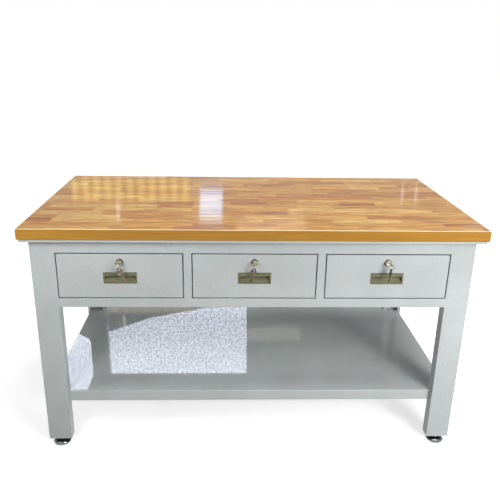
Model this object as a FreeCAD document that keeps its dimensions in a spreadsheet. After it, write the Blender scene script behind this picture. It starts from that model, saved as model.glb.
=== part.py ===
import FreeCAD, Part
import math
import os
import re
import Sketcher

# Jewellers bench: a finger-jointed wooden worktop on a folded steel pan, a welded
# frame of lipped channel legs and folded rails, three lockable drawers on steel
# slides, a folded lower shelf and four levelling feet.
# Frame: +X to the right, +Y to the back, +Z up, millimetres. The origin is on the
# floor under the middle of the worktop.

os.makedirs("parts", exist_ok=True)
doc = FreeCAD.newDocument("JewellersBench")

# ---------------------------------------------------------------- driving sizes
SIZES = [
    # overall
    ("topLength", 1500, "worktop along X"),
    ("topDepth", 750, "worktop along Y"),
    ("topHeight", 835, "floor to worktop surface"),
    ("woodThick", 36, "thickness of the wooden top"),
    ("bandThick", 3, "wooden edge band"),
    ("bandArris", 1, "eased arris of the edge band"),
    # folded pan under the wood
    ("panHeight", 10, "height of the pan's skirt, in front and at both ends"),
    ("panInset", 5, "pan skirt behind the wood's edge"),
    ("panSheet", 1.5, "pan sheet"),
    ("panLip", 12, "return lip of the pan's skirt"),
    ("panCorner", 3, "vertical corner radius of the pan"),
    ("panBend", 2.5, "outer bend radius of the pan's skirt"),
    # frame
    ("frontInset", 40, "frame's front face behind the worktop's front edge"),
    ("rearInset", 2, "frame's rear face inside the worktop's rear edge"),
    ("sideInset", 22.5, "frame side inside the worktop's end"),
    ("frameSheet", 1.5, "sheet of legs and rails"),
    ("frameBend", 2.2, "outer bend radius of legs and rails"),
    ("legWidth", 80, "leg along X"),
    ("legDepth", 40, "leg along Y"),
    ("legLip", 13, "lip of the leg channel"),
    ("legLift", 26, "floor to the end of the leg"),
    ("railDepth", 25, "depth of the rails' flanges"),
    ("railLip", 12, "return lip of the rails"),
    ("topRailShow", 48, "top rail seen between the pan and the drawers"),
    ("openingHeight", 160, "drawer opening"),
    ("bottomRailHeight", 32, "rail under the drawers"),
    ("rearPanelHeight", 225, "panel between the rear legs"),
    ("dividerWidth", 27, "post between two drawers"),
    ("panelRecess", 2.5, "side panel inside the legs' outer faces"),
    # runner carriers
    ("carrierSheet", 2, "sheet of the runner carriers"),
    ("carrierHeight", 90, "height of the runner carriers"),
    ("carrierFlange", 20, "flange of the outer carriers"),
    ("carrierLip", 6, "bottom lip of the middle carriers"),
    # slides
    ("slideWidth", 12.7, "space that one slide takes beside the drawer"),
    ("slideHeight", 45, "height of the outer member"),
    ("slideLength", 550, "length of both members"),
    ("slideSheet", 1.2, "sheet of the slides"),
    ("slideLip", 4, "lips of the outer member"),
    ("slideDepth", 10.6, "depth of the outer member"),
    ("slidePlay", 0.3, "running gap between the members"),
    ("slideCentre", 75, "slide's middle above the opening's bottom edge"),
    ("slideSetback", 2, "slide's end behind the drawer front"),
    # drawer boxes
    ("boxLift", 9, "drawer box above the opening's bottom edge"),
    ("boxHeight", 135, "height of the drawer box"),
    ("boxDepth", 580, "depth of the drawer box"),
    ("boxSheet", 1, "sheet of the drawer box"),
    ("boxRim", 8, "folded rim of the drawer box"),
    ("boxBend", 3, "corner radius of the drawer box"),
    # drawer fronts
    ("frontGap", 3, "gap round a drawer front"),
    ("frontDepth", 18, "depth of the folded drawer front"),
    ("frontSheet", 1.2, "sheet of the drawer front"),
    ("frontLip", 14, "return lip of the drawer front"),
    ("frontBend", 2, "rounded edge of the drawer front"),
    # recessed pulls
    ("pullWidth", 110, "pull along X"),
    ("pullHeight", 40, "pull along Z"),
    ("pullDrop", 6, "pull's middle below the drawer front's middle"),
    ("pullFlange", 1.5, "flange in front of the drawer front"),
    ("pullBorder", 3, "flange past the cut-out"),
    ("pullBand", 13.3, "band that the fingers hook behind"),
    ("pullBandThick", 2.4, "thickness of that band"),
    ("pullWall", 1.5, "wall of the pocket"),
    ("pullDepth", 14, "depth of the pocket behind the sheet"),
    ("pullSlope", 16, "height of the pocket's sloping floor"),
    ("pullCorner", 1.5, "corner radius of the flange"),
    ("pullPlay", 0.3, "pocket inside the cut-out"),
    # locks
    ("lockRise", 49, "lock axis above the drawer front's middle"),
    ("lockHeadRadius", 13, "lock head"),
    ("lockHeadThick", 2.5, "lock head in front of the sheet"),
    ("lockHeadEdge", 1.5, "rounded edge of the lock head"),
    ("lockRadius", 9.5, "threaded barrel"),
    ("lockLength", 25.5, "barrel and plug behind the sheet"),
    ("lockHolePlay", 0.3, "barrel in its holes"),
    ("plugRadius", 8, "turning plug"),
    ("plugPlay", 0.08, "plug in the barrel"),
    ("plugProud", 0.4, "plug in front of the head"),
    ("plugTail", 6, "square tail of the plug"),
    ("nutFlats", 24, "lock nut across flats"),
    ("nutThick", 4, "lock nut"),
    ("camLength", 38, "cam from its axis to its tip"),
    ("camWidth", 16, "cam"),
    ("camThick", 2, "cam"),
    ("camPlay", 0.1, "cam round the square tail"),
    ("camScrewRadius", 1.6, "shank of the cam screw"),
    ("camScrewHead", 4, "head radius of the cam screw"),
    ("camScrewHeadThick", 2.4, "head of the cam screw"),
    ("camScrewReach", 4, "shank inside the plug"),
    # keys and rings
    ("keyThick", 2, "key blank"),
    ("keyHole", 3.5, "radius of the hole in the bow"),
    ("keyStrip", 3, "metal between the hole and the bow's end"),
    ("bowWidth", 26, "widest part of the bow"),
    ("bowEnd", 7, "flat end of the bow"),
    ("bowWidest", 14, "end of the bow to its widest part"),
    ("bowWaist", 20, "end of the bow to the start of its taper"),
    ("bowWaistWidth", 22, "bow where its taper starts"),
    ("bowLength", 26, "bow up to the shoulder"),
    ("bowCorner", 3, "corner radius of the bow"),
    ("bladeWidth", 7, "blade"),
    ("bladeLength", 25, "blade from the shoulder to the tip"),
    ("bladeTip", 2, "chamfer of the tip"),
    ("cutDepth", 1.6, "deepest notch of the blade"),
    ("cutPitch", 4, "distance between notches"),
    ("keyPlay", 0.15, "blade in the keyway"),
    ("keyShoulderGap", 0.3, "shoulder in front of the plug"),
    ("ringRadius", 8.2, "key ring, to the middle of its wire"),
    ("ringWire", 0.8, "radius of the ring's wire"),
    ("ringPlay", 0.6, "ring above the metal that it hangs on"),
    ("sparePlay", 0.4, "spare key's hole above the ring's wire"),
    ("turnLeft", 30, "left ring round the bow, from its end, degrees"),
    ("turnMiddle", -30, "middle ring, degrees"),
    ("turnRight", 56, "right ring, degrees"),
    ("leanLeft", 20, "lean of the left spare key, degrees"),
    ("leanMiddle", -17, "lean of the middle spare key, degrees"),
    ("leanRight", -22, "lean of the right spare key, degrees"),
    # shelf
    ("shelfTop", 211, "floor to the shelf's surface"),
    ("shelfLip", 39, "height of the shelf's folded edge"),
    ("shelfSheet", 1.5, "shelf sheet"),
    ("shelfReturn", 14, "return of the shelf's edge"),
    ("shelfFrontInset", 20, "shelf's front edge behind the legs' faces"),
    ("shelfRearInset", 2, "shelf's rear edge inside the legs' rear faces"),
    ("shelfSideInset", 11.5, "shelf end inside the legs' outer faces"),
    ("shelfBend", 2.5, "outer bend radius of the shelf"),
    ("ribWidth", 40, "crown of a shelf rib"),
    ("ribFoot", 12, "foot flange of a shelf rib"),
    ("ribHeight", 20, "shelf rib"),
    ("ribSheet", 1.2, "sheet of a shelf rib"),
    ("ribSpacing", 430, "distance between shelf ribs"),
    # levelling feet
    ("footRadius", 30, "chrome cup"),
    ("footFace", 26, "underside of the cup"),
    ("footEdge", 3, "height of the cup's lower edge"),
    ("footShoulder", 7, "height where the dome starts"),
    ("footCollar", 10, "radius of the collar"),
    ("footDome", 30, "radius of the dome's section"),
    ("footHeight", 18, "height of the cup"),
    ("footRise", 0.5, "cup's rim above the floor"),
    ("padRadius", 22, "rubber pad"),
    ("padThick", 3, "rubber pad"),
    ("padPlay", 0.3, "pad inside the cup's rim"),
    ("studRadius", 6, "threaded stud"),
    ("studTop", 66, "floor to the stud's end"),
    ("studPlay", 0.05, "stud in its nuts"),
    ("rearFootShift", 8, "rear feet in front of their legs' middles, to clear a wall"),
    ("plateThick", 4, "plate in the leg's end"),
    ("weldNutThick", 10, "nut welded on the plate"),
    ("footNutThick", 6.5, "lock nut under the plate"),
    ("footNutFlats", 19, "both nuts across flats"),
    # wood screws
    ("screwSpacing", 560, "distance between the worktop's screws"),
    ("screwRadius", 2.5, "shank"),
    ("screwPlay", 0.2, "shank in its holes"),
    ("screwReach", 22, "shank inside the wood"),
    ("screwHead", 5, "head radius"),
    ("screwHeadThick", 2.5, "head"),
]

sheet = doc.addObject("Spreadsheet::Sheet", "Sizes")
for row, (alias, value, note) in enumerate(SIZES, start=1):
    sheet.set(f"A{row}", alias)
    sheet.set(f"B{row}", str(value))
    sheet.setAlias(f"B{row}", alias)
    sheet.set(f"C{row}", note)
doc.recompute()


# ------------------------------------------------------- planes that pieces share
# Each is written as an expression on the sheet's names.
WOOD_BOTTOM = "(topHeight - woodThick)"
PAN_UNDER = "(topHeight - woodThick - panSheet)"
PAN_BOTTOM = "(topHeight - woodThick - panHeight)"
OPENING_TOP = f"({PAN_BOTTOM} - topRailShow)"
OPENING_BOTTOM = f"({OPENING_TOP} - openingHeight)"
APRON_BOTTOM = f"({OPENING_BOTTOM} - bottomRailHeight)"
REAR_BOTTOM = f"({PAN_UNDER} - rearPanelHeight)"
FACE = "(topDepth / 2 - frontInset)"  # frame's front face, measured from the middle
REAR = "(topDepth / 2 - rearInset)"  # frame's rear face, likewise
SIDE = "(topLength / 2 - sideInset)"  # frame's outer side
LEG_INNER = f"({SIDE} - legWidth)"
LEG_BACK = f"({FACE} - legDepth)"  # inner side of the front legs
REAR_LEG_BACK = f"({REAR} - legDepth)"
BAY = f"((2 * {LEG_INNER} - 2 * dividerWidth) / 3)"  # width of one drawer opening
BAY_PITCH = f"({BAY} + dividerWidth)"
BOX_HALF = f"({BAY} / 2 - slideWidth)"
BOX_FRONT = f"(frontDepth - {FACE})"
BOX_BOTTOM = f"({OPENING_BOTTOM} + boxLift)"
BOX_TOP = f"({BOX_BOTTOM} + boxHeight)"
SLIDE_Z = f"({OPENING_BOTTOM} + slideCentre)"
SLIDE_FRONT = f"({BOX_FRONT} + slideSetback)"
CARRIER_BOTTOM = f"({SLIDE_Z} - carrierHeight / 2)"
CARRIER_TOP = f"({SLIDE_Z} + carrierHeight / 2)"
FRONT_Z = f"({OPENING_BOTTOM} + openingHeight / 2)"
PULL_Z = f"({FRONT_Z} - pullDrop)"
LOCK_Z = f"({FRONT_Z} + lockRise)"
LOCK_TAIL = f"(lockLength - {FACE})"
PLUG_FACE = f"(0 - {FACE} - lockHeadThick - plugProud)"
SHELF_X = f"({SIDE} - shelfSideInset)"
SHELF_FRONT = f"({FACE} - shelfFrontInset)"
SHELF_REAR = f"({REAR} - shelfRearInset)"
HOLE_TO_SHOULDER = "(bowLength - keyStrip - keyHole)"

END_FACE = {-1: FACE, 1: REAR}
FOOT_X = f"({SIDE} - legWidth / 2)"
FOOT_Y = {-1: f"(legDepth / 2 - {FACE})", 1: f"({REAR} - legDepth / 2 - rearFootShift)"}

BAYS = [("left", -1), ("middle", 0), ("right", 1)]
CORNERS = [("front_left", -1, -1), ("front_right", 1, -1), ("rear_left", -1, 1), ("rear_right", 1, 1)]
FUNCTIONS = ("sin", "cos", "tan", "sqrt")
TOLERANCE = 1e-4


# ------------------------------------------------------------------ small helpers
def bound(text):
    """The expression with the sheet's name in front of each size."""
    def name(match):
        word = match.group(0)
        return word if word in FUNCTIONS else "Sizes." + word

    return re.sub(r"[A-Za-z]\w*", name, str(text))


def number(text):
    """What an expression comes to, in millimetres."""
    return float(sheet.evalExpression(bound(text)))


def bind(thing, prop, text):
    thing.setExpression(prop, bound(text))


def new_body(label):
    body = doc.addObject("PartDesign::Body", label)
    body.Label = label
    return body


def place(thing, x="0", y="0", z="0"):
    """Moves a finished object to a point that stays tied to the sheet."""
    for axis, text in zip("xyz", (x, y, z)):
        bind(thing, f"Placement.Base.{axis}", text)


def turn(thing, axis, degrees):
    thing.Placement.Rotation = FreeCAD.Rotation(FreeCAD.Vector(*axis), degrees)


def rectangle(x_low, x_high, y_low, y_high):
    return [(x_low, y_low), (x_high, y_low), (x_high, y_high), (x_low, y_high)]


def centred(half_x, half_y):
    return rectangle(f"(0 - {half_x})", half_x, f"(0 - {half_y})", half_y)


def inset(corners, amount):
    """A rectangle made smaller on every side."""
    (x_low, y_low), (x_high, y_high) = corners[0], corners[2]
    return rectangle(f"({x_low} + {amount})", f"({x_high} - {amount})",
                     f"({y_low} + {amount})", f"({y_high} - {amount})")


def new_sketch(body, plane, offset):
    sketch = body.newObject("Sketcher::SketchObject", "Profile")
    origin_plane = [f for f in body.Origin.OriginFeatures if f.Role == plane + "_Plane"][0]
    sketch.AttachmentSupport = (origin_plane, [""])
    sketch.MapMode = "FlatFace"
    bind(sketch, "AttachmentOffset.Base.z", offset)
    return sketch


def fix_point(sketch, index, end, x, y):
    for kind, text in (("DistanceX", x), ("DistanceY", y)):
        rule = sketch.addConstraint(Sketcher.Constraint(kind, -1, 1, index, end, number(text)))
        bind(sketch, f"Constraints[{rule}]", text)


def arc_between(start, end, radius, left):
    """An arc from start to end that turns left (anticlockwise) or right."""
    middle = (start + end) / 2
    chord = end - start
    across = FreeCAD.Vector(-chord.y, chord.x, 0).normalize()
    away = math.sqrt(radius**2 - (chord.Length / 2) ** 2)
    centre = middle + across * (away if left else -away)
    first, last = (start, end) if left else (end, start)
    circle = Part.Circle(centre, FreeCAD.Vector(0, 0, 1), radius)
    return Part.ArcOfCircle(circle, circle.parameter(first), circle.parameter(last))


def draw_outline(sketch, corners):
    """A closed outline. A corner is (x, y), or (x, y, radius, "left" or "right")
    where an arc leads to the next corner."""
    points = [FreeCAD.Vector(number(c[0]), number(c[1]), 0) for c in corners]
    ends = []
    for i, corner in enumerate(corners):
        start, end = points[i], points[(i + 1) % len(points)]
        if len(corner) == 2:
            index = sketch.addGeometry(Part.LineSegment(start, end), False)
            ends.append((index, 1, 2))
            continue
        left = corner[3] == "left"
        index = sketch.addGeometry(arc_between(start, end, number(corner[2]), left), False)
        ends.append((index, 1, 2) if left else (index, 2, 1))
    for i, (index, _, last) in enumerate(ends):
        after, first, _ = ends[(i + 1) % len(ends)]
        sketch.addConstraint(Sketcher.Constraint("Coincident", index, last, after, first))
    for corner, (index, first, _) in zip(corners, ends):
        fix_point(sketch, index, first, corner[0], corner[1])
        if len(corner) > 2:
            rule = sketch.addConstraint(Sketcher.Constraint("Radius", index, number(corner[2])))
            bind(sketch, f"Constraints[{rule}]", corner[2])


def draw_circles(sketch, circles):
    for x, y, radius in circles:
        centre = FreeCAD.Vector(number(x), number(y), 0)
        circle = Part.Circle(centre, FreeCAD.Vector(0, 0, 1), number(radius))
        index = sketch.addGeometry(circle, False)
        fix_point(sketch, index, 3, x, y)
        rule = sketch.addConstraint(Sketcher.Constraint("Radius", index, number(radius)))
        bind(sketch, f"Constraints[{rule}]", radius)


def fill(sketch, outline=(), circles=()):
    if outline:
        draw_outline(sketch, outline)
    draw_circles(sketch, circles)


def pad(body, plane, start, end, outline=(), circles=()):
    """Material between two planes, start below end along the third axis. The XZ
    plane's normal points to -Y, so its sketch lies at the far end."""
    sketch = new_sketch(body, plane, f"0 - ({end})" if plane == "XZ" else start)
    fill(sketch, outline, circles)
    feature = body.newObject("PartDesign::Pad", "Pad")
    feature.Profile = sketch
    bind(feature, "Length", f"({end}) - ({start})")
    return feature


def pocket(body, plane, start, end, outline=(), circles=()):
    """Takes material away between two planes, start below end."""
    sketch = new_sketch(body, plane, f"0 - ({start})" if plane == "XZ" else end)
    fill(sketch, outline, circles)
    doc.recompute()
    before = body.Shape.Volume
    feature = body.newObject("PartDesign::Pocket", "Pocket")
    feature.Profile = sketch
    bind(feature, "Length", f"({end}) - ({start})")
    doc.recompute()
    if body.Shape.Volume > before - TOLERANCE:
        raise RuntimeError(f"a pocket of {body.Label} cuts nothing")
    return feature


def revolve(body, outline):
    """A full turn about +Z of an outline in the XZ plane."""
    sketch = new_sketch(body, "XZ", "0")
    draw_outline(sketch, outline)
    feature = body.newObject("PartDesign::Revolution", "Revolution")
    feature.Profile = sketch
    feature.ReferenceAxis = (sketch, ["V_Axis"])
    feature.Angle = 360
    return feature


def seen_along(plane, point):
    """A point's two coordinates in a plane."""
    first, second = plane
    return getattr(point, first.lower()), getattr(point, second.lower())


def edges_at(body, plane, corners):
    """The straight edges that stand on a plane at given corners, as their names."""
    doc.recompute()
    wanted = [(number(corner[0]), number(corner[1])) for corner in corners]
    names = []
    for i, edge in enumerate(body.Tip.Shape.Edges, start=1):
        if edge.Degenerated or edge.Curve.TypeId != "Part::GeomLine":
            continue
        ends = [seen_along(plane, vertex.Point) for vertex in edge.Vertexes]
        for corner in wanted:
            if all(math.dist(end, corner) < TOLERANCE for end in ends):
                names.append(f"Edge{i}")
    return names


def edges_on_face(body, axis, level):
    """The edges that lie wholly at one level of an axis, as their names."""
    doc.recompute()
    value = number(level)
    names = []
    for i, edge in enumerate(body.Tip.Shape.Edges, start=1):
        box = edge.BoundBox
        low, high = getattr(box, axis + "Min"), getattr(box, axis + "Max")
        if abs(low - value) < TOLERANCE and abs(high - value) < TOLERANCE:
            names.append(f"Edge{i}")
    return names


def round_edges(body, names, radius):
    solid = body.Tip
    feature = body.newObject("PartDesign::Fillet", "Fillet")
    feature.Base = (solid, names)
    bind(feature, "Radius", radius)
    return feature


def round_bends(body, plane, outer, inner, bend, thickness):
    """Rounds a folded profile: the outer corners by the bend radius, the inner
    ones by what the sheet leaves of it."""
    round_edges(body, edges_at(body, plane, outer), bend)
    if inner:
        round_edges(body, edges_at(body, plane, inner), f"{bend} - {thickness}")


def group(label, members):
    """One node of several separate solids."""
    compound = doc.addObject("Part::Compound", label)
    compound.Label = label
    compound.Links = members
    return compound


def cylinder(x, y, z, radius, length):
    """A plain cylinder that stands on (x, y, z)."""
    thing = doc.addObject("Part::Cylinder", "Cylinder")
    bind(thing, "Radius", radius)
    bind(thing, "Height", length)
    place(thing, x, y, z)
    return thing


def hexagon(x, y, z, flats, length):
    """A hexagonal prism that stands on (x, y, z)."""
    thing = doc.addObject("Part::Prism", "Hexagon")
    thing.Polygon = 6
    bind(thing, "Circumradius", f"{flats} / sqrt(3)")
    bind(thing, "Height", length)
    place(thing, x, y, z)
    return thing


def fused(*members):
    thing = doc.addObject("Part::MultiFuse", "Fusion")
    thing.Shapes = list(members)
    return thing


def drilled(base, tool):
    thing = doc.addObject("Part::Cut", "Drilled")
    thing.Base = base
    thing.Tool = tool
    return thing


nodes = []


def keep(thing):
    nodes.append(thing)
    return thing


# ------------------------------------------------------------------------ worktop
def screw_circles(sides):
    """The worktop's screws as (x, y, radius of their holes), for rails at the
    given sides: -1 the front, 1 the rear."""
    return [(f"({i} * screwSpacing)", f"({side} * ({END_FACE[side]} - railDepth / 2))",
             "screwRadius + screwPlay") for side in sides for i in (-1, 0, 1)]


def make_worktop():
    body = new_body("worktop")
    wood = centred("(topLength / 2 - bandThick)", "(topDepth / 2 - bandThick)")
    pad(body, "XY", WOOD_BOTTOM, "topHeight", wood)
    pocket(body, "XY", WOOD_BOTTOM, f"{WOOD_BOTTOM} + screwReach", circles=screw_circles((-1, 1)))
    return body


def edge_strip(label, plane, side, reach, start, end):
    """A strip with eased outer arrises. side is -1 or 1, reach the worktop's edge."""
    body = new_body(label)
    outer = f"({side} * {reach})"
    inner = f"({side} * ({reach} - bandThick))"
    eased = f"({side} * ({reach} - bandArris))"
    outline = [
        (inner, WOOD_BOTTOM), (eased, WOOD_BOTTOM), (outer, f"{WOOD_BOTTOM} + bandArris"),
        (outer, "topHeight - bandArris"), (eased, "topHeight"), (inner, "topHeight"),
    ]
    pad(body, plane, start, end, outline)
    return body


def make_edge_bands():
    strips = []
    for name, side in (("front", -1), ("rear", 1)):
        strips.append(edge_strip(f"edge_band_{name}", "YZ", side, "topDepth / 2",
                                 "0 - topLength / 2", "topLength / 2"))
    for name, side in (("left", -1), ("right", 1)):
        strips.append(edge_strip(f"edge_band_{name}", "XZ", side, "topLength / 2",
                                 "bandThick - topDepth / 2", "topDepth / 2 - bandThick"))
    return group("edge_bands", strips)


def make_top_pan():
    """A shallow pan folded down in front and at both ends, with a return lip. At
    the rear its sheet ends over the frame's face."""
    body = new_body("top_pan")
    half, front, rear = "(topLength / 2 - panInset)", "(panInset - topDepth / 2)", REAR

    def within(amount):
        return rectangle(f"({amount} - {half})", f"({half} - {amount})", f"({front} + {amount})", rear)

    outline = within("0")
    pad(body, "XY", PAN_BOTTOM, WOOD_BOTTOM, outline)
    round_edges(body, edges_at(body, "XY", outline[:2]), "panCorner")
    pocket(body, "XY", f"{PAN_BOTTOM} + panSheet", PAN_UNDER, within("panSheet"))
    pocket(body, "XY", PAN_BOTTOM, f"{PAN_BOTTOM} + panSheet", within("panLip"))
    bends = edges_at(body, "YZ", [(front, PAN_BOTTOM)])
    bends += edges_at(body, "XZ", [(f"({side} * {half})", PAN_BOTTOM) for side in (-1, 1)])
    round_edges(body, bends, "panBend")
    pocket(body, "XY", PAN_UNDER, WOOD_BOTTOM, circles=screw_circles((-1, 1)))
    return body


def make_worktop_screws():
    screws = []
    shank_top = f"({WOOD_BOTTOM} + screwReach - screwPlay)"
    flange_under = f"({PAN_UNDER} - frameSheet)"
    for x, y, _ in screw_circles((-1, 1)):
        head = cylinder(x, y, f"{flange_under} - screwHeadThick", "screwHead", "screwHeadThick")
        shank = cylinder(x, y, flange_under, "screwRadius", f"{shank_top} - {flange_under}")
        screws.append(fused(head, shank))
    return group("worktop_screws", screws)


# -------------------------------------------------------------------------- frame
def make_leg(name, side, end):
    """A lipped channel whose open side faces the middle of the bench. It is drawn
    with its face on Y = 0 and its depth along +Y, and a rear leg is turned about."""
    body = new_body(f"leg_{name}")
    half, deep, sheet_in = "(legWidth / 2)", "legDepth", "frameSheet"
    outer = rectangle(f"(0 - {half})", half, "0", deep)
    inner = inset(outer, sheet_in)
    pad(body, "XY", "legLift", PAN_UNDER, outer)
    pocket(body, "XY", "legLift", PAN_UNDER, inner)
    slot = rectangle(f"(legLip - {half})", f"({half} - legLip)", f"({deep} - {sheet_in})", deep)
    pocket(body, "XY", "legLift", PAN_UNDER, slot)
    round_bends(body, "XY", outer, inner, "frameBend", "frameSheet")
    if end > 0:
        turn(body, (0, 0, 1), 180)
    place(body, f"{side} * ({SIDE} - legWidth / 2)", f"{end} * {END_FACE[end]}", "0")
    return body


def rail_outline(side, low, high, top_lip):
    """The section of a folded rail in the YZ plane, its face at the frame's face."""
    def across(depth):
        return f"({side} * ({END_FACE[side]} - {depth}))"

    face, inside = across("0"), across("frameSheet")
    back, lip = across("railDepth"), across("(railDepth - frameSheet)")
    lower = [
        (face, low), (back, low), (back, f"{low} + railLip"), (lip, f"{low} + railLip"),
        (lip, f"{low} + frameSheet"), (inside, f"{low} + frameSheet"),
    ]
    if not top_lip:
        return lower + [(inside, f"{high} - frameSheet"), (back, f"{high} - frameSheet"),
                        (back, high), (face, high)]
    return lower + [
        (inside, f"{high} - frameSheet"), (lip, f"{high} - frameSheet"),
        (lip, f"{high} - railLip"), (back, f"{high} - railLip"), (back, high), (face, high),
    ]


def make_rail(label, side, low, high, top_lip):
    body = new_body(label)
    outline = rail_outline(side, low, high, top_lip)
    pad(body, "YZ", f"0 - {LEG_INNER}", LEG_INNER, outline)
    outer = [outline[0], outline[1], outline[-1]] + ([outline[-2]] if top_lip else [])
    inner = [outline[4], outline[5], outline[6]] + ([outline[7]] if top_lip else [])
    round_bends(body, "YZ", outer, inner, "frameBend", "frameSheet")
    if not top_lip:
        pocket(body, "XY", f"{high} - frameSheet", high, circles=screw_circles((side,)))
    return body


def make_divider(name, side):
    """A post between two drawer openings, open at the back."""
    body = new_body(f"divider_{name}")
    half = "(dividerWidth / 2)"
    outer = rectangle(f"(0 - {half})", half, f"0 - {FACE}", f"railDepth - {FACE}")
    inner = rectangle(f"(frameSheet - {half})", f"({half} - frameSheet)",
                      f"frameSheet - {FACE}", f"railDepth - {FACE}")
    pad(body, "XY", OPENING_BOTTOM, OPENING_TOP, outer)
    pocket(body, "XY", OPENING_BOTTOM, OPENING_TOP, inner)
    round_bends(body, "XY", outer[:2], inner[:2], "frameBend", "frameSheet")
    place(body, f"{side} * {BAY_PITCH} / 2")
    return body


def make_side_panel(name, side):
    """A folded panel between a front and a rear leg."""
    body = new_body(f"side_panel_{name}")

    def across(depth):
        return f"({side} * ({SIDE} - panelRecess - {depth}))"

    face, inside = across("0"), across("frameSheet")
    back, lip = across("railDepth"), across("(railDepth - frameSheet)")
    low, high = APRON_BOTTOM, PAN_UNDER
    outline = [
        (face, low), (back, low), (back, f"{low} + railLip"), (lip, f"{low} + railLip"),
        (lip, f"{low} + frameSheet"), (inside, f"{low} + frameSheet"),
        (inside, f"{high} - frameSheet"), (back, f"{high} - frameSheet"),
        (back, high), (face, high),
    ]
    pad(body, "XZ", f"0 - {LEG_BACK}", REAR_LEG_BACK, outline)
    outer = [outline[0], outline[1], outline[-1]]
    round_bends(body, "XZ", outer, outline[4:7], "frameBend", "frameSheet")
    return body


def weld_bead(x, y, z, along, length, sides):
    """Weld that fills the groove left by a rounded bend, ground flush: a square
    strip less the round of the bend. sides says where the bend's middle lies."""
    block = doc.addObject("Part::Box", "Bead")
    cutter = doc.addObject("Part::Cylinder", "Bend")
    bind(cutter, "Radius", "frameBend")
    bind(cutter, "Height", length)
    across, up = sides
    if along == "Z":
        bind(block, "Length", "frameBend")
        bind(block, "Width", "frameBend")
        bind(block, "Height", length)
        place(block, x if across > 0 else f"{x} - frameBend", y if up > 0 else f"{y} - frameBend", z)
        place(cutter, f"{x} + {across} * frameBend", f"{y} + {up} * frameBend", z)
    else:
        bind(block, "Length", length)
        bind(block, "Width", "frameBend")
        bind(block, "Height", "frameBend")
        place(block, x, y if across > 0 else f"{y} - frameBend", z if up > 0 else f"{z} - frameBend")
        turn(cutter, (0, 1, 0), 90)
        place(cutter, x, f"{y} + {across} * frameBend", f"{z} + {up} * frameBend")
    return drilled(block, cutter)


def make_frame_welds():
    beads = []
    for side in (-1, 1):
        x = f"{side} * {LEG_INNER}"
        for low, high in ((OPENING_TOP, PAN_UNDER), (APRON_BOTTOM, OPENING_BOTTOM)):
            beads.append(weld_bead(x, f"0 - {FACE}", low, "Z", f"{high} - {low}", (side, 1)))
        beads.append(weld_bead(x, REAR, REAR_BOTTOM, "Z", "rearPanelHeight", (side, -1)))
        for z, up in ((OPENING_TOP, 1), (OPENING_BOTTOM, -1)):
            start = f"{side} * {BAY_PITCH} / 2 - dividerWidth / 2 + frameBend"
            length = "dividerWidth - 2 * frameBend"
            beads.append(weld_bead(start, f"0 - {FACE}", z, "X", length, (1, up)))
    return group("frame_welds", beads)


def make_inner_carrier(name, side):
    """An inverted channel from a divider to the rear panel, for the slides on
    both of its sides."""
    body = new_body(f"runner_carrier_inner_{name}")
    half = "(dividerWidth / 2)"
    start, end = f"railDepth - {FACE}", f"{REAR} - frameSheet"
    outer = rectangle(f"(0 - {half})", half, CARRIER_BOTTOM, CARRIER_TOP)
    inner = inset(outer, "carrierSheet")
    pad(body, "XZ", start, end, outer)
    pocket(body, "XZ", start, end, inner)
    slot = rectangle(f"(carrierLip - {half})", f"({half} - carrierLip)",
                     CARRIER_BOTTOM, f"({CARRIER_BOTTOM} + carrierSheet)")
    pocket(body, "XZ", start, end, slot)
    place(body, f"{side} * {BAY_PITCH} / 2")
    return body


def make_outer_carrier(name, side):
    """A channel from a front leg to a rear leg, its web in line with their sides."""
    body = new_body(f"runner_carrier_outer_{name}")
    web, inside = f"({side} * {LEG_INNER})", f"({side} * ({LEG_INNER} + carrierSheet))"
    edge = f"({side} * ({LEG_INNER} + carrierFlange))"
    outline = [
        (web, CARRIER_BOTTOM), (edge, CARRIER_BOTTOM), (edge, f"{CARRIER_BOTTOM} + carrierSheet"),
        (inside, f"{CARRIER_BOTTOM} + carrierSheet"), (inside, f"{CARRIER_TOP} - carrierSheet"),
        (edge, f"{CARRIER_TOP} - carrierSheet"), (edge, CARRIER_TOP), (web, CARRIER_TOP),
    ]
    pad(body, "XZ", f"0 - {LEG_BACK}", REAR_LEG_BACK, outline)
    return body


# -------------------------------------------------------------------------- slides
def outer_member(label, side):
    """The fixed member: a lipped channel against the carrier."""
    body = new_body(label)

    def across(depth):
        return f"({side} * ({BAY} / 2 - {depth}))"

    def level(sign, amount):
        return f"({SLIDE_Z} + {sign} * (slideHeight / 2 - {amount}))"

    wall, inside = across("0"), across("slideSheet")
    edge, lip = across("slideDepth"), across("(slideDepth - slideSheet)")
    half = [(wall, "0"), (edge, "0"), (edge, "slideLip"), (lip, "slideLip"),
            (lip, "slideSheet"), (inside, "slideSheet")]
    outline = [(x, level(-1, z)) for x, z in half] + [(x, level(1, z)) for x, z in half[::-1]]
    pad(body, "XZ", SLIDE_FRONT, f"{SLIDE_FRONT} + slideLength", outline)
    return body


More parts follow.
